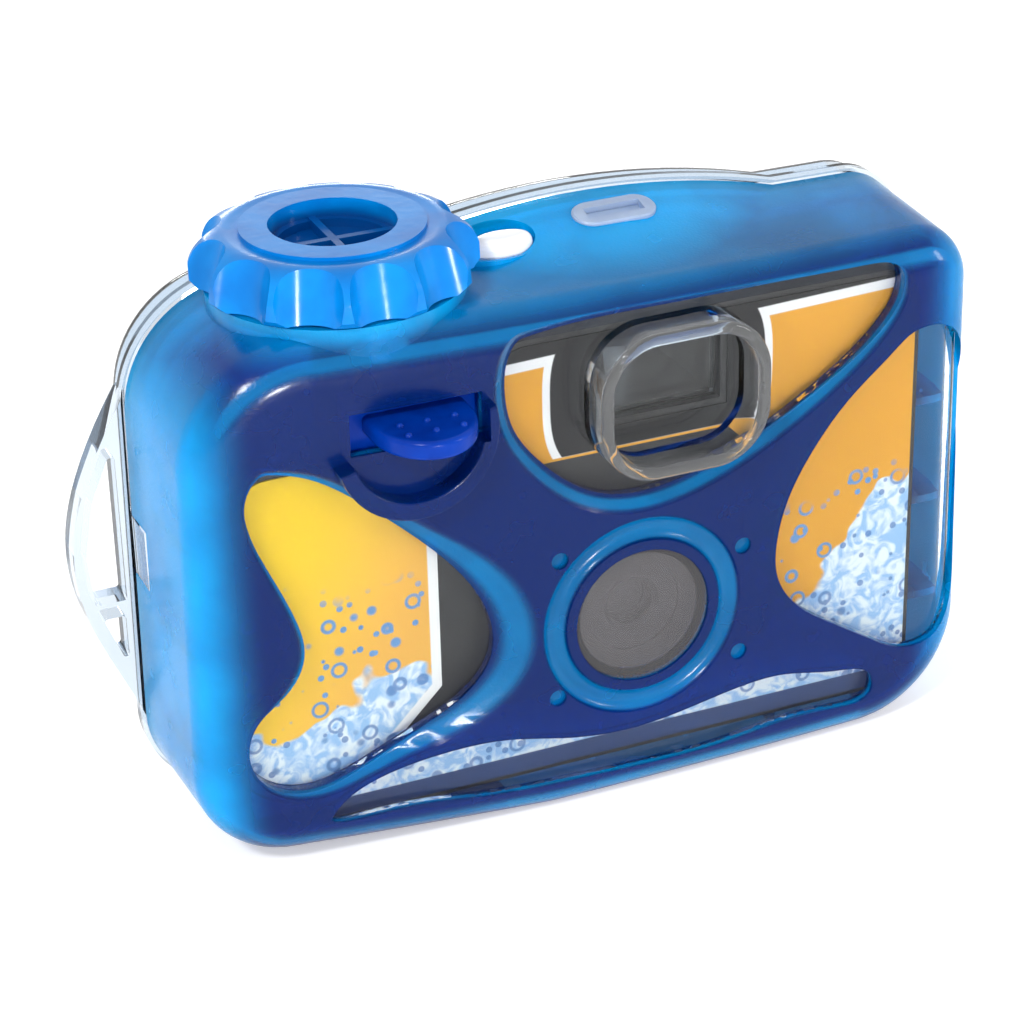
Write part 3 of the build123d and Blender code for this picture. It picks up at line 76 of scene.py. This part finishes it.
toward = Vector((-sin(TURN) * cos(RISE), -cos(TURN) * cos(RISE), sin(RISE)))
level = Vector((cos(TURN), -sin(TURN), 0))
upright = toward.cross(level)
across = level * cos(ROLL) - upright * sin(ROLL)
up = level * sin(ROLL) + upright * cos(ROLL)
eye = TARGET + toward * DISTANCE

cam_data = bpy.data.cameras.new("photo_view")
cam_data.lens = LENS
cam_data.sensor_width = 36
cam = bpy.data.objects.new("photo_view", cam_data)
cam.matrix_world = Matrix((
    (across.x, up.x, toward.x, eye.x),
    (across.y, up.y, toward.y, eye.y),
    (across.z, up.z, toward.z, eye.z),
    (0, 0, 0, 1),
))
scene.collection.objects.link(cam)
scene.camera = cam
print("camera", [round(v, 4) for v in eye], "lens", round(LENS, 1))

# %% [markdown]
# Finishes are all built from nodes. Every pattern reads Object coordinates, which for this frame
# are the object's own metres, so a pattern sits still on its piece in any pose or view. A few small
# helpers keep the cells short: they start a material, wire one math node, mix two colours, and make
# noise, bumps and drifts. They also take anything else that has a node tree, such as the world.

# %% Helpers for finishes
def finish_named(name, colour, roughness, **sockets):
    """A new material whose shader has these plain values."""
    mat = bpy.data.materials.new(name)
    mat.use_nodes = True
    shader = mat.node_tree.nodes["Principled BSDF"]
    shader.inputs["Base Color"].default_value = (*colour, 1)
    shader.inputs["Roughness"].default_value = roughness
    for socket, value in sockets.items():
        shader.inputs[socket.replace("_", " ")].default_value = value
    return mat


def node(mat, kind, **settings):
    """A new node in the material, with its settings."""
    made = mat.node_tree.nodes.new(kind)
    for key, value in settings.items():
        setattr(made, key, value)
    return made


def wire(mat, source, target):
    """Joins an output socket to an input socket."""
    mat.node_tree.links.new(source, target)


def sums(mat, operation, first, second=None, third=None):
    """One math node, fed by sockets or numbers; gives its output socket."""
    made = node(mat, "ShaderNodeMath", operation=operation)
    for place, value in enumerate((first, second, third)):
        if value is None:
            continue
        if isinstance(value, (int, float)):
            made.inputs[place].default_value = value
        else:
            wire(mat, value, made.inputs[place])
    return made.outputs[0]


def mixed(mat, share, first, second):
    """Mixes two colours, each a socket or a triple, by a share from 0 to 1."""
    made = node(mat, "ShaderNodeMix", data_type="RGBA")
    for place, value in zip((0, 6, 7), (share, first, second)):
        if isinstance(value, (int, float)):
            made.inputs[place].default_value = value
        elif isinstance(value, tuple):
            made.inputs[place].default_value = (*value, 1)
        else:
            wire(mat, value, made.inputs[place])
    return made.outputs[2]


def places(mat):
    """Object coordinates, whole and split into x, y and z, in metres."""
    whole = node(mat, "ShaderNodeTexCoord").outputs["Object"]
    split = node(mat, "ShaderNodeSeparateXYZ")
    wire(mat, whole, split.inputs[0])
    return whole, split.outputs[0], split.outputs[1], split.outputs[2]


def grain(mat, scale, detail=2.0):
    """Fine noise, with that many waves in a metre."""
    made = node(mat, "ShaderNodeTexNoise")
    made.inputs["Scale"].default_value = scale
    made.inputs["Detail"].default_value = detail
    wire(mat, places(mat)[0], made.inputs["Vector"])
    return made.outputs["Fac"]


def rough_up(mat, height, depth, strength=1.0):
    """Bumps the shader's normal by a height socket, of that depth in metres."""
    bump = node(mat, "ShaderNodeBump")
    bump.inputs["Distance"].default_value = depth
    bump.inputs["Strength"].default_value = strength
    wire(mat, height, bump.inputs["Height"])
    wire(mat, bump.outputs[0], mat.node_tree.nodes["Principled BSDF"].inputs["Normal"])


def ranged(mat, value, low, high, to_low=0.0, to_high=1.0):
    """Smoothly maps a value from one range to another, and holds it outside."""
    made = node(mat, "ShaderNodeMapRange", interpolation_type="SMOOTHSTEP")
    for socket, number in zip(("From Min", "From Max", "To Min", "To Max"), (low, high, to_low, to_high)):
        made.inputs[socket].default_value = number
    wire(mat, value, made.inputs["Value"])
    return made.outputs[0]


def opposite_of(mat, value):
    """One less the value."""
    return sums(mat, "SUBTRACT", 1.0, value)


def set_input(mat, name, socket):
    """Feeds one of the shader's sockets."""
    wire(mat, socket, mat.node_tree.nodes["Principled BSDF"].inputs[name])


def drifting(mat, waves, low=0.0, high=1.0, detail=2.0):
    """A value that drifts between two ends, with that many waves in a metre."""
    return ranged(mat, grain(mat, waves, detail), 0.3, 0.7, low, high)


def two_shades(mat, waves, first, second, detail=2.0):
    """Lets the colour drift between two close shades, and gives its socket."""
    colour = mixed(mat, drifting(mat, waves, detail=detail), first, second)
    set_input(mat, "Base Color", colour)
    return colour


def round_axis(mat, joint_name):
    """Where a point lies seen from a joint's upright axis: along x, along y, and its distance."""
    _, along_x, along_y, _ = places(mat)
    centre_x, centre_y, _ = joints[joint_name]["pos_m"]
    off_x = sums(mat, "SUBTRACT", along_x, centre_x)
    off_y = sums(mat, "SUBTRACT", along_y, centre_y)
    square_x = sums(mat, "MULTIPLY", off_x, off_x)
    square_y = sums(mat, "MULTIPLY", off_y, off_y)
    return off_x, off_y, sums(mat, "POWER", sums(mat, "ADD", square_x, square_y), 0.5)


print("helpers ready")

# %% [markdown]
# The blue shell is a dyed clear plastic with a finely frosted skin. Over the black camera it looks
# navy. At its rims, along the top and down the sides, where light crosses only plastic, it glows
# cyan. That light and shade is painted into the colour: it runs from a painted navy shade to a
# painted cyan glow with the distance from the case's middle, and part of the light goes straight
# through. The bevels round the windows and the trough get a painted highlight too. The frosting is
# a very fine noise bump that glitters.

# %% Frosted blue plastic
# One blue in two lights: painted shade over the camera, painted glow at the rims and top
SHADED_DYE_BLUE, GLOWING_DYE_BLUE = (0.0, 0.030, 0.23), (0.0, 0.47, 1.0)
SIDE_GLOW = (0.050, 0.0600)
TOP_GLOW = (0.0765, 0.0820)
BACK_GLOW, BACK_SHARE = (-0.014, 0.003), 0.75
FACE_DEPTH, CROWN_CURVE = 0.022, 0.59
# Depths of the bevels and the strength of the painted highlight on them
BEVEL_START, BEVEL_END, BEVEL_HIGHLIGHT_SHARE = (0.0001, 0.0007), (0.0012, 0.0018), 0.5


def painted_rim_glow(mat, reach):
    """Share of painted glow: 0 in the painted shade over the camera, 1 at the case's sides and top."""
    _, along_x, along_y, along_z = places(mat)
    sideways = ranged(mat, sums(mat, "ABSOLUTE", along_x), *SIDE_GLOW)
    upwards = ranged(mat, along_z, *TOP_GLOW)
    backwards = ranged(mat, along_y, *BACK_GLOW, 0.0, BACK_SHARE)
    # How far a place lies behind the crowned face: bevels and trough are 0.2 to 1.8 mm deep
    square = sums(mat, "MULTIPLY", along_x, along_x)
    crown = sums(mat, "MULTIPLY_ADD", square, CROWN_CURVE, -FACE_DEPTH)
    sunk = sums(mat, "SUBTRACT", along_y, crown)
    # The bevels and the trough get a painted highlight, which fades as they sink deeper
    fading = ranged(mat, sunk, *BEVEL_END, BEVEL_HIGHLIGHT_SHARE, 0.0)
    bevel_highlight = sums(mat, "MULTIPLY", ranged(mat, sunk, *BEVEL_START), fading)
    strongest = sums(mat, "MAXIMUM", sums(mat, "MAXIMUM", sideways, upwards), backwards)
    return sums(mat, "MULTIPLY", sums(mat, "MAXIMUM", strongest, bevel_highlight), reach)


shell_blue = finish_named(
    "frosted_blue", SHADED_DYE_BLUE, 0.22, IOR=1.17, Transmission_Weight=0.62, Coat_Weight=0.25, Coat_Roughness=0.14
)
# The shell's colour runs from painted shade to painted glow by this share
painted_glow_share = painted_rim_glow(shell_blue, drifting(shell_blue, 70, 0.78, 1.0, 3))
set_input(shell_blue, "Base Color", mixed(shell_blue, painted_glow_share, SHADED_DYE_BLUE, GLOWING_DYE_BLUE))
set_input(shell_blue, "Roughness", drifting(shell_blue, 160, 0.17, 0.28))
set_input(shell_blue, "Transmission Weight", ranged(shell_blue, painted_glow_share, 0.0, 1.0, 0.66, 0.40))
rough_up(shell_blue, grain(shell_blue, 2300, 2), 0.00006, 0.8)
print("finish", shell_blue.name)

# %% [markdown]
# The knob and the finger shelf are moulded in thick blue plastic, so no light gets through. The
# knob is a bright mid blue and the shelf is nearly navy, and both have a glossy skin with the faint
# unevenness of a moulding. Little light reaches the bottom of the knob's round hole, so its colour
# deepens there with the distance from the knob's axis and with the height.

# %% Solid blue plastics
HOLE_EDGE = (0.0088, 0.0100)
HOLE_DEPTH, HOLE_SHARE = (0.0868, 0.0886), 0.85
HOLE_BLUE = (0.0, 0.035, 0.19)

knob_blue = finish_named("knob_blue", (0.0, 0.18, 0.58), 0.2, IOR=1.26, Coat_Weight=0.12, Coat_Roughness=0.1)
knob_colour = two_shades(knob_blue, 120, (0.0, 0.15, 0.50), (0.0, 0.22, 0.64), 3)
_, _, _, knob_z = places(knob_blue)
_, _, from_axis = round_axis(knob_blue, "knob_turn")
in_hole = ranged(knob_blue, from_axis, *HOLE_EDGE, 1.0, 0.0)
down_hole = sums(knob_blue, "MULTIPLY", in_hole, ranged(knob_blue, knob_z, *HOLE_DEPTH, HOLE_SHARE, 0.0))
set_input(knob_blue, "Base Color", mixed(knob_blue, down_hole, knob_colour, HOLE_BLUE))
rough_up(knob_blue, grain(knob_blue, 700, 3), 0.00004, 0.5)

trigger_blue = finish_named("trigger_blue", (0.0, 0.028, 0.28), 0.24, IOR=1.22)
two_shades(trigger_blue, 200, (0.0, 0.022, 0.23), (0.0, 0.034, 0.31), 3)
rough_up(trigger_blue, grain(trigger_blue, 900, 3), 0.00003, 0.4)
print("finishes", knob_blue.name, trigger_blue.name)

# %% [markdown]
# The windows, the lens port and the back half are polished clear plastic. Perfectly clean glass
# looks wrong, so each has a slow, weak ripple in its surface, as mouldings have, and its polish
# varies. The back half is thicker and slightly grey, so its rim and strap loop can be seen. The
# lens port and the finder's proud frame also get a trace of haze, which makes them show over the
# black camera. The counter's pane is a cloudy pale blue.

# %% Clear plastics
def clear_plastic(name, colour, roughness, ripple, shine=0.1, veil=0.0):
    """Clear plastic with a slight tint, a ripple of that depth, and that much reflection and haze."""
    mat = finish_named(
        name, colour, roughness, IOR=1.3, Transmission_Weight=1.0 - veil, Specular_IOR_Level=shine
    )
    two_shades(mat, 60, colour, tuple(min(1.0, part * 1.03) for part in colour))
    polish = ranged(mat, grain(mat, 110, 2), 0.35, 0.75, roughness * 0.6, roughness * 1.8)
    set_input(mat, "Roughness", polish)
    rough_up(mat, grain(mat, 45, 1), ripple, 0.5)
    return mat


window_clear = clear_plastic("window_clear", (0.95, 0.98, 0.99), 0.03, 0.0002)
back_clear = clear_plastic("back_clear", (0.68, 0.76, 0.84), 0.05, 0.0002, 0.5)
port_clear = clear_plastic("port_clear", (0.72, 0.70, 0.73), 0.05, 0.0001, 0.5, 0.06)
lens_clear = clear_plastic("lens_clear", (0.9, 0.93, 0.95), 0.02, 0.00005, 0.5)

# The finder's frame stands proud of the face, where y is lowest
FRAME_DEPTH, FRAME_CLARITY = (-0.0260, -0.0235), 0.93
finder_clear = clear_plastic("finder_clear", (0.95, 0.97, 0.99), 0.02, 0.0001, 0.6)
_, _, finder_y, _ = places(finder_clear)
frame_haze = ranged(finder_clear, finder_y, *FRAME_DEPTH, FRAME_CLARITY, 1.0)
set_input(finder_clear, "Transmission Weight", frame_haze)

counter_clear = finish_named("counter_pane", (0.5, 0.62, 0.84), 0.28, Transmission_Weight=0.5)
counter_tint = mixed(counter_clear, grain(counter_clear, 400, 2), (0.42, 0.55, 0.80), (0.58, 0.70, 0.88))
set_input(counter_clear, "Base Color", counter_tint)
print("finishes", window_clear.name, finder_clear.name, back_clear.name, port_clear.name, lens_clear.name)

# %% [markdown]
# The rest are ordinary finishes: matt black mouldings and rubber, painted and plain metal, dark
# film, and the white button. None of them is one flat value, since nothing moulded or painted is:
# a colour, a polish or a fine grain drifts a little across each piece.

# %% Small plain finishes
black = finish_named("camera_black", (0.010, 0.010, 0.012), 0.42, Specular_IOR_Level=0.35)
rough_up(black, grain(black, 1800, 3), 0.00005, 0.6)
set_input(black, "Roughness", drifting(black, 200, 0.36, 0.5))
seal_black = finish_named("seal_rubber", (0.02, 0.02, 0.022), 0.6)
rough_up(seal_black, grain(seal_black, 1500, 2), 0.00004, 0.5)
steel = finish_named("spring_steel", (0.55, 0.55, 0.57), 0.28, Metallic=1.0)
set_input(steel, "Roughness", drifting(steel, 900, 0.22, 0.38))
blackened = finish_named("blackened_steel", (0.05, 0.05, 0.055), 0.4, Metallic=0.8)
set_input(blackened, "Roughness", drifting(blackened, 500, 0.32, 0.5))


def mottled(name, dark, light, roughness, waves, **sockets):
    """A plain finish whose colour drifts between two close shades."""
    mat = finish_named(name, dark, roughness, **sockets)
    two_shades(mat, waves, dark, light)
    return mat


button_white = mottled("button_white", (0.78, 0.80, 0.84), (0.86, 0.87, 0.90), 0.2, 150, Coat_Weight=0.4)
film_brown = mottled("film_brown", (0.05, 0.02, 0.012), (0.08, 0.035, 0.02), 0.25, 250, Coat_Weight=0.3)
can_paint = mottled("can_paint", (0.60, 0.40, 0.03), (0.72, 0.50, 0.06), 0.35, 180, Metallic=0.3)
print("plain finishes", button_white.name, film_brown.name, can_paint.name, steel.name, blackened.name)

# %% [markdown]
# The frame counter's dial turns under its small window. It is off-white with plain dark strokes
# round its edge, one for each frame, and a longer stroke at each fifth. The strokes come from the
# angle round the dial's own centre.

# %% Counter dial with strokes
DIAL_EDGE, FRAME_STROKE, FIFTH_STROKE = 0.0080, 0.0062, 0.0046

dial_white = finish_named("dial_white", (0.80, 0.80, 0.78), 0.4)
plain_dial = two_shades(dial_white, 300, (0.80, 0.80, 0.78), (0.88, 0.88, 0.86))
from_x, from_y, dial_reach = round_axis(dial_white, "counter_turn")
turned = sums(dial_white, "ADD", sums(dial_white, "ARCTAN2", from_y, from_x), pi)


def strokes(count, low, share):
    """Dark strokes round the dial, from a radius in metres out to its edge."""
    turns = sums(dial_white, "FRACT", sums(dial_white, "MULTIPLY", turned, count / (2 * pi)))
    off_middle = sums(dial_white, "ABSOLUTE", sums(dial_white, "SUBTRACT", turns, 0.5))
    near = opposite_of(dial_white, ranged(dial_white, off_middle, share, share + 0.03))
    outside = ranged(dial_white, dial_reach, low - 0.0001, low + 0.0001)
    inside = opposite_of(dial_white, ranged(dial_white, dial_reach, DIAL_EDGE - 0.0001, DIAL_EDGE + 0.0001))
    return sums(dial_white, "MULTIPLY", near, sums(dial_white, "MULTIPLY", outside, inside))


marks = sums(dial_white, "MAXIMUM", strokes(40, FRAME_STROKE, 0.10), strokes(8, FIFTH_STROKE, 0.03))
set_input(dial_white, "Base Color", mixed(dial_white, marks, plain_dial, (0.02, 0.02, 0.03)))
print("dial centre", joints["counter_turn"]["pos_m"])

# %% [markdown]
# A printed card covers the camera's front, and it gives the windows their colours. Its print is a
# plain design in the same kind of colours: warm yellow to orange fields with white borders, a
# black field round the finder, and a pale blue wash with loose dots and rings along the bottom.
# Each field is a shape in the card's own x and z, in millimetres, so all of it is node maths.

# %% Printed card: fields, borders and wash
BORDER_WHITE, FIELD_BLACK = (0.93, 0.93, 0.92), (0.006, 0.006, 0.008)
YELLOW, SOFT_ORANGE, ORANGE = (0.93, 0.60, 0.01), (0.80, 0.42, 0.07), (0.72, 0.33, 0.02)

card = finish_named("printed_card", (0.9, 0.5, 0.1), 0.35, Specular_IOR_Level=0.12)
card_where, card_x, _, card_z = places(card)
x_mm = sums(card, "MULTIPLY", card_x, 1000.0)
z_mm = sums(card, "MULTIPLY", card_z, 1000.0)


def over(value, edge, blur=0.12):
    """1 where the value is above the edge, in millimetres, with a crisp blur."""
    return ranged(card, value, edge - blur, edge + blur)


def under(value, edge, blur=0.12):
    """1 where the value is below the edge."""
    return opposite_of(card, over(value, edge, blur))


def both(first, second):
    """1 where both shapes are."""
    return sums(card, "MULTIPLY", first, second)


def either(first, second):
    """1 where one of two shapes is."""
    return sums(card, "MAXIMUM", first, second)


def slanted(x_share, z_share, shift):
    """A straight run across the card: x and z by their shares, plus a shift in millimetres."""
    upward = sums(card, "MULTIPLY_ADD", z_mm, z_share, shift)
    return sums(card, "MULTIPLY_ADD", x_mm, x_share, upward)


# Warm field: yellow at the upper left to orange at the lower right
warm_run = slanted(0.5, -0.25, 0.0)
warm_left = mixed(card, ranged(card, warm_run, -36.0, -22.0), YELLOW, SOFT_ORANGE)
warm = mixed(card, over(x_mm, -20.0), warm_left, ORANGE)

# Left panel: border along its right edge and its two cut corners
DIAGONAL = 0.7071
from_edge = sums(card, "SUBTRACT", -23.6, x_mm)
from_upper = slanted(-DIAGONAL, -DIAGONAL, 24.9 * DIAGONAL)
from_lower = slanted(-DIAGONAL, DIAGONAL, -46.6 * DIAGONAL)
from_panel = sums(card, "MINIMUM", sums(card, "MINIMUM", from_edge, from_upper), from_lower)
on_left = under(x_mm, -20.0)
left_border = both(both(on_left, over(z_mm, 17.2)), both(under(from_panel, 1.5), under(z_mm, 54.4)))


def ring_part(value, middle, half):
    """One part of a rounded box: the cube of the distance from its middle, in halves."""
    away = sums(card, "DIVIDE", sums(card, "SUBTRACT", value, middle), half)
    return sums(card, "POWER", sums(card, "ABSOLUTE", away), 3.0)


# Finder field: black round the finder and along the top, with a white line between
ring = sums(card, "ADD", ring_part(x_mm, 10.4, 16.6), ring_part(z_mm, 63.6, 13.4))
on_top = over(z_mm, 54.9)
top_line = slanted(-0.03, 1.0, 0.0)
dark_field = either(under(ring, 1.0, 0.02), over(top_line, 70.9))
white_field = either(under(ring, 1.22, 0.02), over(top_line, 69.4))
on_right_part = over(x_mm, -14.9)

# Wash: its shore wanders with a slow noise; dots and rings lie scattered in it
shore_noise = sums(card, "SUBTRACT", grain(card, 95, 2), 0.5)
shore = sums(card, "MULTIPLY_ADD", shore_noise, 26.0, z_mm)
left_shore = both(on_left, under(shore, 23.0, 0.5))
right_rise = sums(card, "MULTIPLY_ADD", x_mm, 0.95, -7.0)
right_shore = both(over(x_mm, 20.0), under(sums(card, "SUBTRACT", shore, right_rise), 0.0, 0.5))
below_top = opposite_of(card, on_top)
wash = both(either(either(left_shore, right_shore), under(z_mm, 17.2)), below_top)
ripple = node(card, "ShaderNodeTexNoise")
ripple.inputs["Scale"].default_value = 330
ripple.inputs["Detail"].default_value = 4
ripple.inputs["Distortion"].default_value = 1.4
wire(card, card_where, ripple.inputs["Vector"])
wash_share = ranged(card, ripple.outputs["Fac"], 0.38, 0.62)
wash_pale = mixed(card, wash_share, (0.30, 0.52, 0.80), (0.80, 0.88, 0.94))


def scattered(scale, size, rim=0):
    """Loose round dots, or rings where rim is set, one in each cell of a scattered grid."""
    cells = node(card, "ShaderNodeTexVoronoi")
    cells.inputs["Scale"].default_value = scale
    cells.inputs["Randomness"].default_value = 1.0
    wire(card, card_where, cells.inputs["Vector"])
    inside = under(cells.outputs["Distance"], size, 0.03)
    if not rim:
        return inside
    return both(inside, over(cells.outputs["Distance"], size - rim, 0.03))


dots = either(scattered(420, 0.22), scattered(230, 0.30, 0.10))
wash_colour = mixed(card, sums(card, "MULTIPLY", dots, 0.75), wash_pale, (0.05, 0.16, 0.45))
spray = both(dots, both(either(on_left, over(x_mm, 24.0)), under(shore, 42.0, 3.0)))

# Each layer goes over the ones before it
picture = warm
for where, colour in (
    (both(on_right_part, both(on_top, white_field)), BORDER_WHITE),
    (both(on_right_part, both(on_top, dark_field)), FIELD_BLACK),
    (both(spray, below_top), (0.12, 0.28, 0.55)),
    (wash, wash_colour),
    (left_border, BORDER_WHITE),
    (under(z_mm, 8.4), (0.02, 0.05, 0.16)),
):
    picture = mixed(card, where, picture, colour)
set_input(card, "Base Color", picture)
print("card nodes", len(card.node_tree.nodes))

# %% [markdown]
# The CAD nodes have the right shapes, but their meshes are loose triangles. Each shown node is
# copied, its doubles are merged, and its edges are marked sharp only where two faces meet at a
# steep angle, so curved plastic shades smoothly. The copy stands for the node and rides with it.

# %% Dress each node
dressing = {
    "front_case": (shell_blue, 28), "rear_case": (back_clear, 28),
    "left_window": (window_clear, 28), "viewfinder_window": (finder_clear, 28),
    "right_window": (window_clear, 28), "bottom_window": (window_clear, 28),
    "counter_window": (counter_clear, 28), "lens_port": (port_clear, 28),
    "wind_knob": (knob_blue, 30), "shutter_trigger": (trigger_blue, 30), "shutter_button": (button_white, 40),
    "wind_shaft": (black, 30), "thumbwheel": (black, 30), "cartridge_spool": (black, 30),
    "roll_spindle": (black, 30), "camera_front": (black, 30), "camera_back": (black, 30),
    "camera_chassis": (black, 30), "lens_retainer": (black, 30), "release_button": (black, 30),
    "label_card": (card, 30), "film_cartridge": (can_paint, 30), "film_strip": (film_brown, 30),
    "film_roll": (film_brown, 30), "taking_lens": (lens_clear, 30), "finder_front_lens": (lens_clear, 30),
    "finder_rear_lens": (lens_clear, 30), "shutter_blade": (blackened, 30), "pressure_plate": (blackened, 30),
    "shutter_spring": (steel, 60), "trigger_spring": (steel, 60), "sprocket_wheel": (dial_white, 30),
    "counter_dial": (dial_white, 30), "knob_seal": (seal_black, 30), "button_seal": (seal_black, 30),
    "case_gasket": (seal_black, 30),
}


def dress(name, mat, sharp):
    """A merged, smoothly shaded copy of a CAD node, in its finish."""
    shape = bmesh.new()
    shape.from_mesh(frame["nodes"][name].data)
    bmesh.ops.remove_doubles(shape, verts=shape.verts, dist=0.000002)
    bmesh.ops.dissolve_degenerate(shape, edges=shape.edges, dist=0.000001)
    for face in shape.faces:
        face.smooth = True
        face.material_index = 0
    for edge in shape.edges:
        edge.smooth = len(edge.link_faces) == 2 and edge.calc_face_angle(0) < radians(sharp)
    mesh = bpy.data.meshes.new(name + "_look")
    shape.to_mesh(mesh)
    shape.free()
    mesh.materials.clear()
    mesh.materials.append(mat)
    piece = bpy.data.objects.new(name + "_look", mesh)
    scene.collection.objects.link(piece)
    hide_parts(name)
    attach(piece, body_of_node[name])
    return piece


looks = {name: dress(name, mat, sharp) for name, (mat, sharp) in dressing.items()}
for name, piece in looks.items():
    print(name, len(piece.data.polygons))

# %% [markdown]
# The finger shelf stands on a small coil spring. Here the coil's look only gets a mesh of its own.

# %% The trigger's spring gets its own mesh
coil = looks["trigger_spring"]
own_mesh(coil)

# %% [markdown]
# Plain pale floor and soft studio light. Behind the object everything the camera sees is white,
# also through clear plastic and in reflections; the light that falls on the object stays lower,
# so its colours are neither washed out nor clipped.

# %% Floor, world and lights
FLOOR_REACH = 3.0
FLOOR_GLOW, FLOOR_GLOW_SEEN = 0.24, 0.36
WORLD_LIGHT, WORLD_SEEN = 0.64, 1.0

floor_shape = bmesh.new()
bmesh.ops.create_grid(floor_shape, x_segments=1, y_segments=1, size=FLOOR_REACH)
floor_mesh = bpy.data.meshes.new("floor")
floor_shape.to_mesh(floor_mesh)
floor_shape.free()
floor = bpy.data.objects.new("floor", floor_mesh)
scene.collection.objects.link(floor)

paper = finish_named("floor_paper", (0.92, 0.92, 0.92), 0.9)
wire_out = paper.node_tree.nodes["Material Output"]
glow = node(paper, "ShaderNodeEmission")
glow.inputs["Color"].default_value = (1, 1, 1, 1)
floor_ray = node(paper, "ShaderNodeLightPath")
seen_floor = sums(
    paper, "MAXIMUM", floor_ray.outputs["Is Camera Ray"], floor_ray.outputs["Is Transmission Ray"]
)
wire(paper, ranged(paper, seen_floor, 0.0, 1.0, FLOOR_GLOW, FLOOR_GLOW_SEEN), glow.inputs["Strength"])
blend_floor = node(paper, "ShaderNodeAddShader")
wire(paper, paper.node_tree.nodes["Principled BSDF"].outputs[0], blend_floor.inputs[0])
wire(paper, glow.outputs[0], blend_floor.inputs[1])
wire(paper, blend_floor.outputs[0], wire_out.inputs["Surface"])
floor_mesh.materials.append(paper)

world = bpy.data.worlds.new("studio")
scene.world = world
world.use_nodes = True
backdrop = world.node_tree.nodes["Background"]
backdrop.inputs["Color"].default_value = (1, 1, 1, 1)
ray = node(world, "ShaderNodeLightPath")
seen = sums(world, "MAXIMUM", ray.outputs["Is Camera Ray"], ray.outputs["Is Glossy Ray"])
seen = sums(world, "MAXIMUM", seen, ray.outputs["Is Transmission Ray"])
wire(world, ranged(world, seen, 0.0, 1.0, WORLD_LIGHT, WORLD_SEEN), backdrop.inputs["Strength"])


def soft_box(name, place, aim, size, power):
    """A rectangular lamp that looks at a point."""
    data = bpy.data.lights.new(name, "AREA")
    data.shape = "RECTANGLE"
    data.size, data.size_y = size
    data.energy = power
    lamp = bpy.data.objects.new(name, data)
    lamp.location = place
    lamp.rotation_euler = (Vector(aim) - Vector(place)).to_track_quat("-Z", "Y").to_euler()
    scene.collection.objects.link(lamp)
    return lamp


soft_box("key", (-0.42, -0.40, 0.55), (0, 0, 0.05), (0.10, 0.10), 3.0)
soft_box("back", (0.10, 0.70, 0.25), (0, 0, 0.05), (0.4, 0.06), 1.0)
soft_box("right", (0.60, -0.40, 0.30), (0, 0, 0.04), (0.08, 0.25), 1.3)
soft_box("front", (-0.05, -0.75, 0.14), (0, 0, 0.05), (0.09, 0.07), 2.8)
scene.view_settings.view_transform = "Standard"
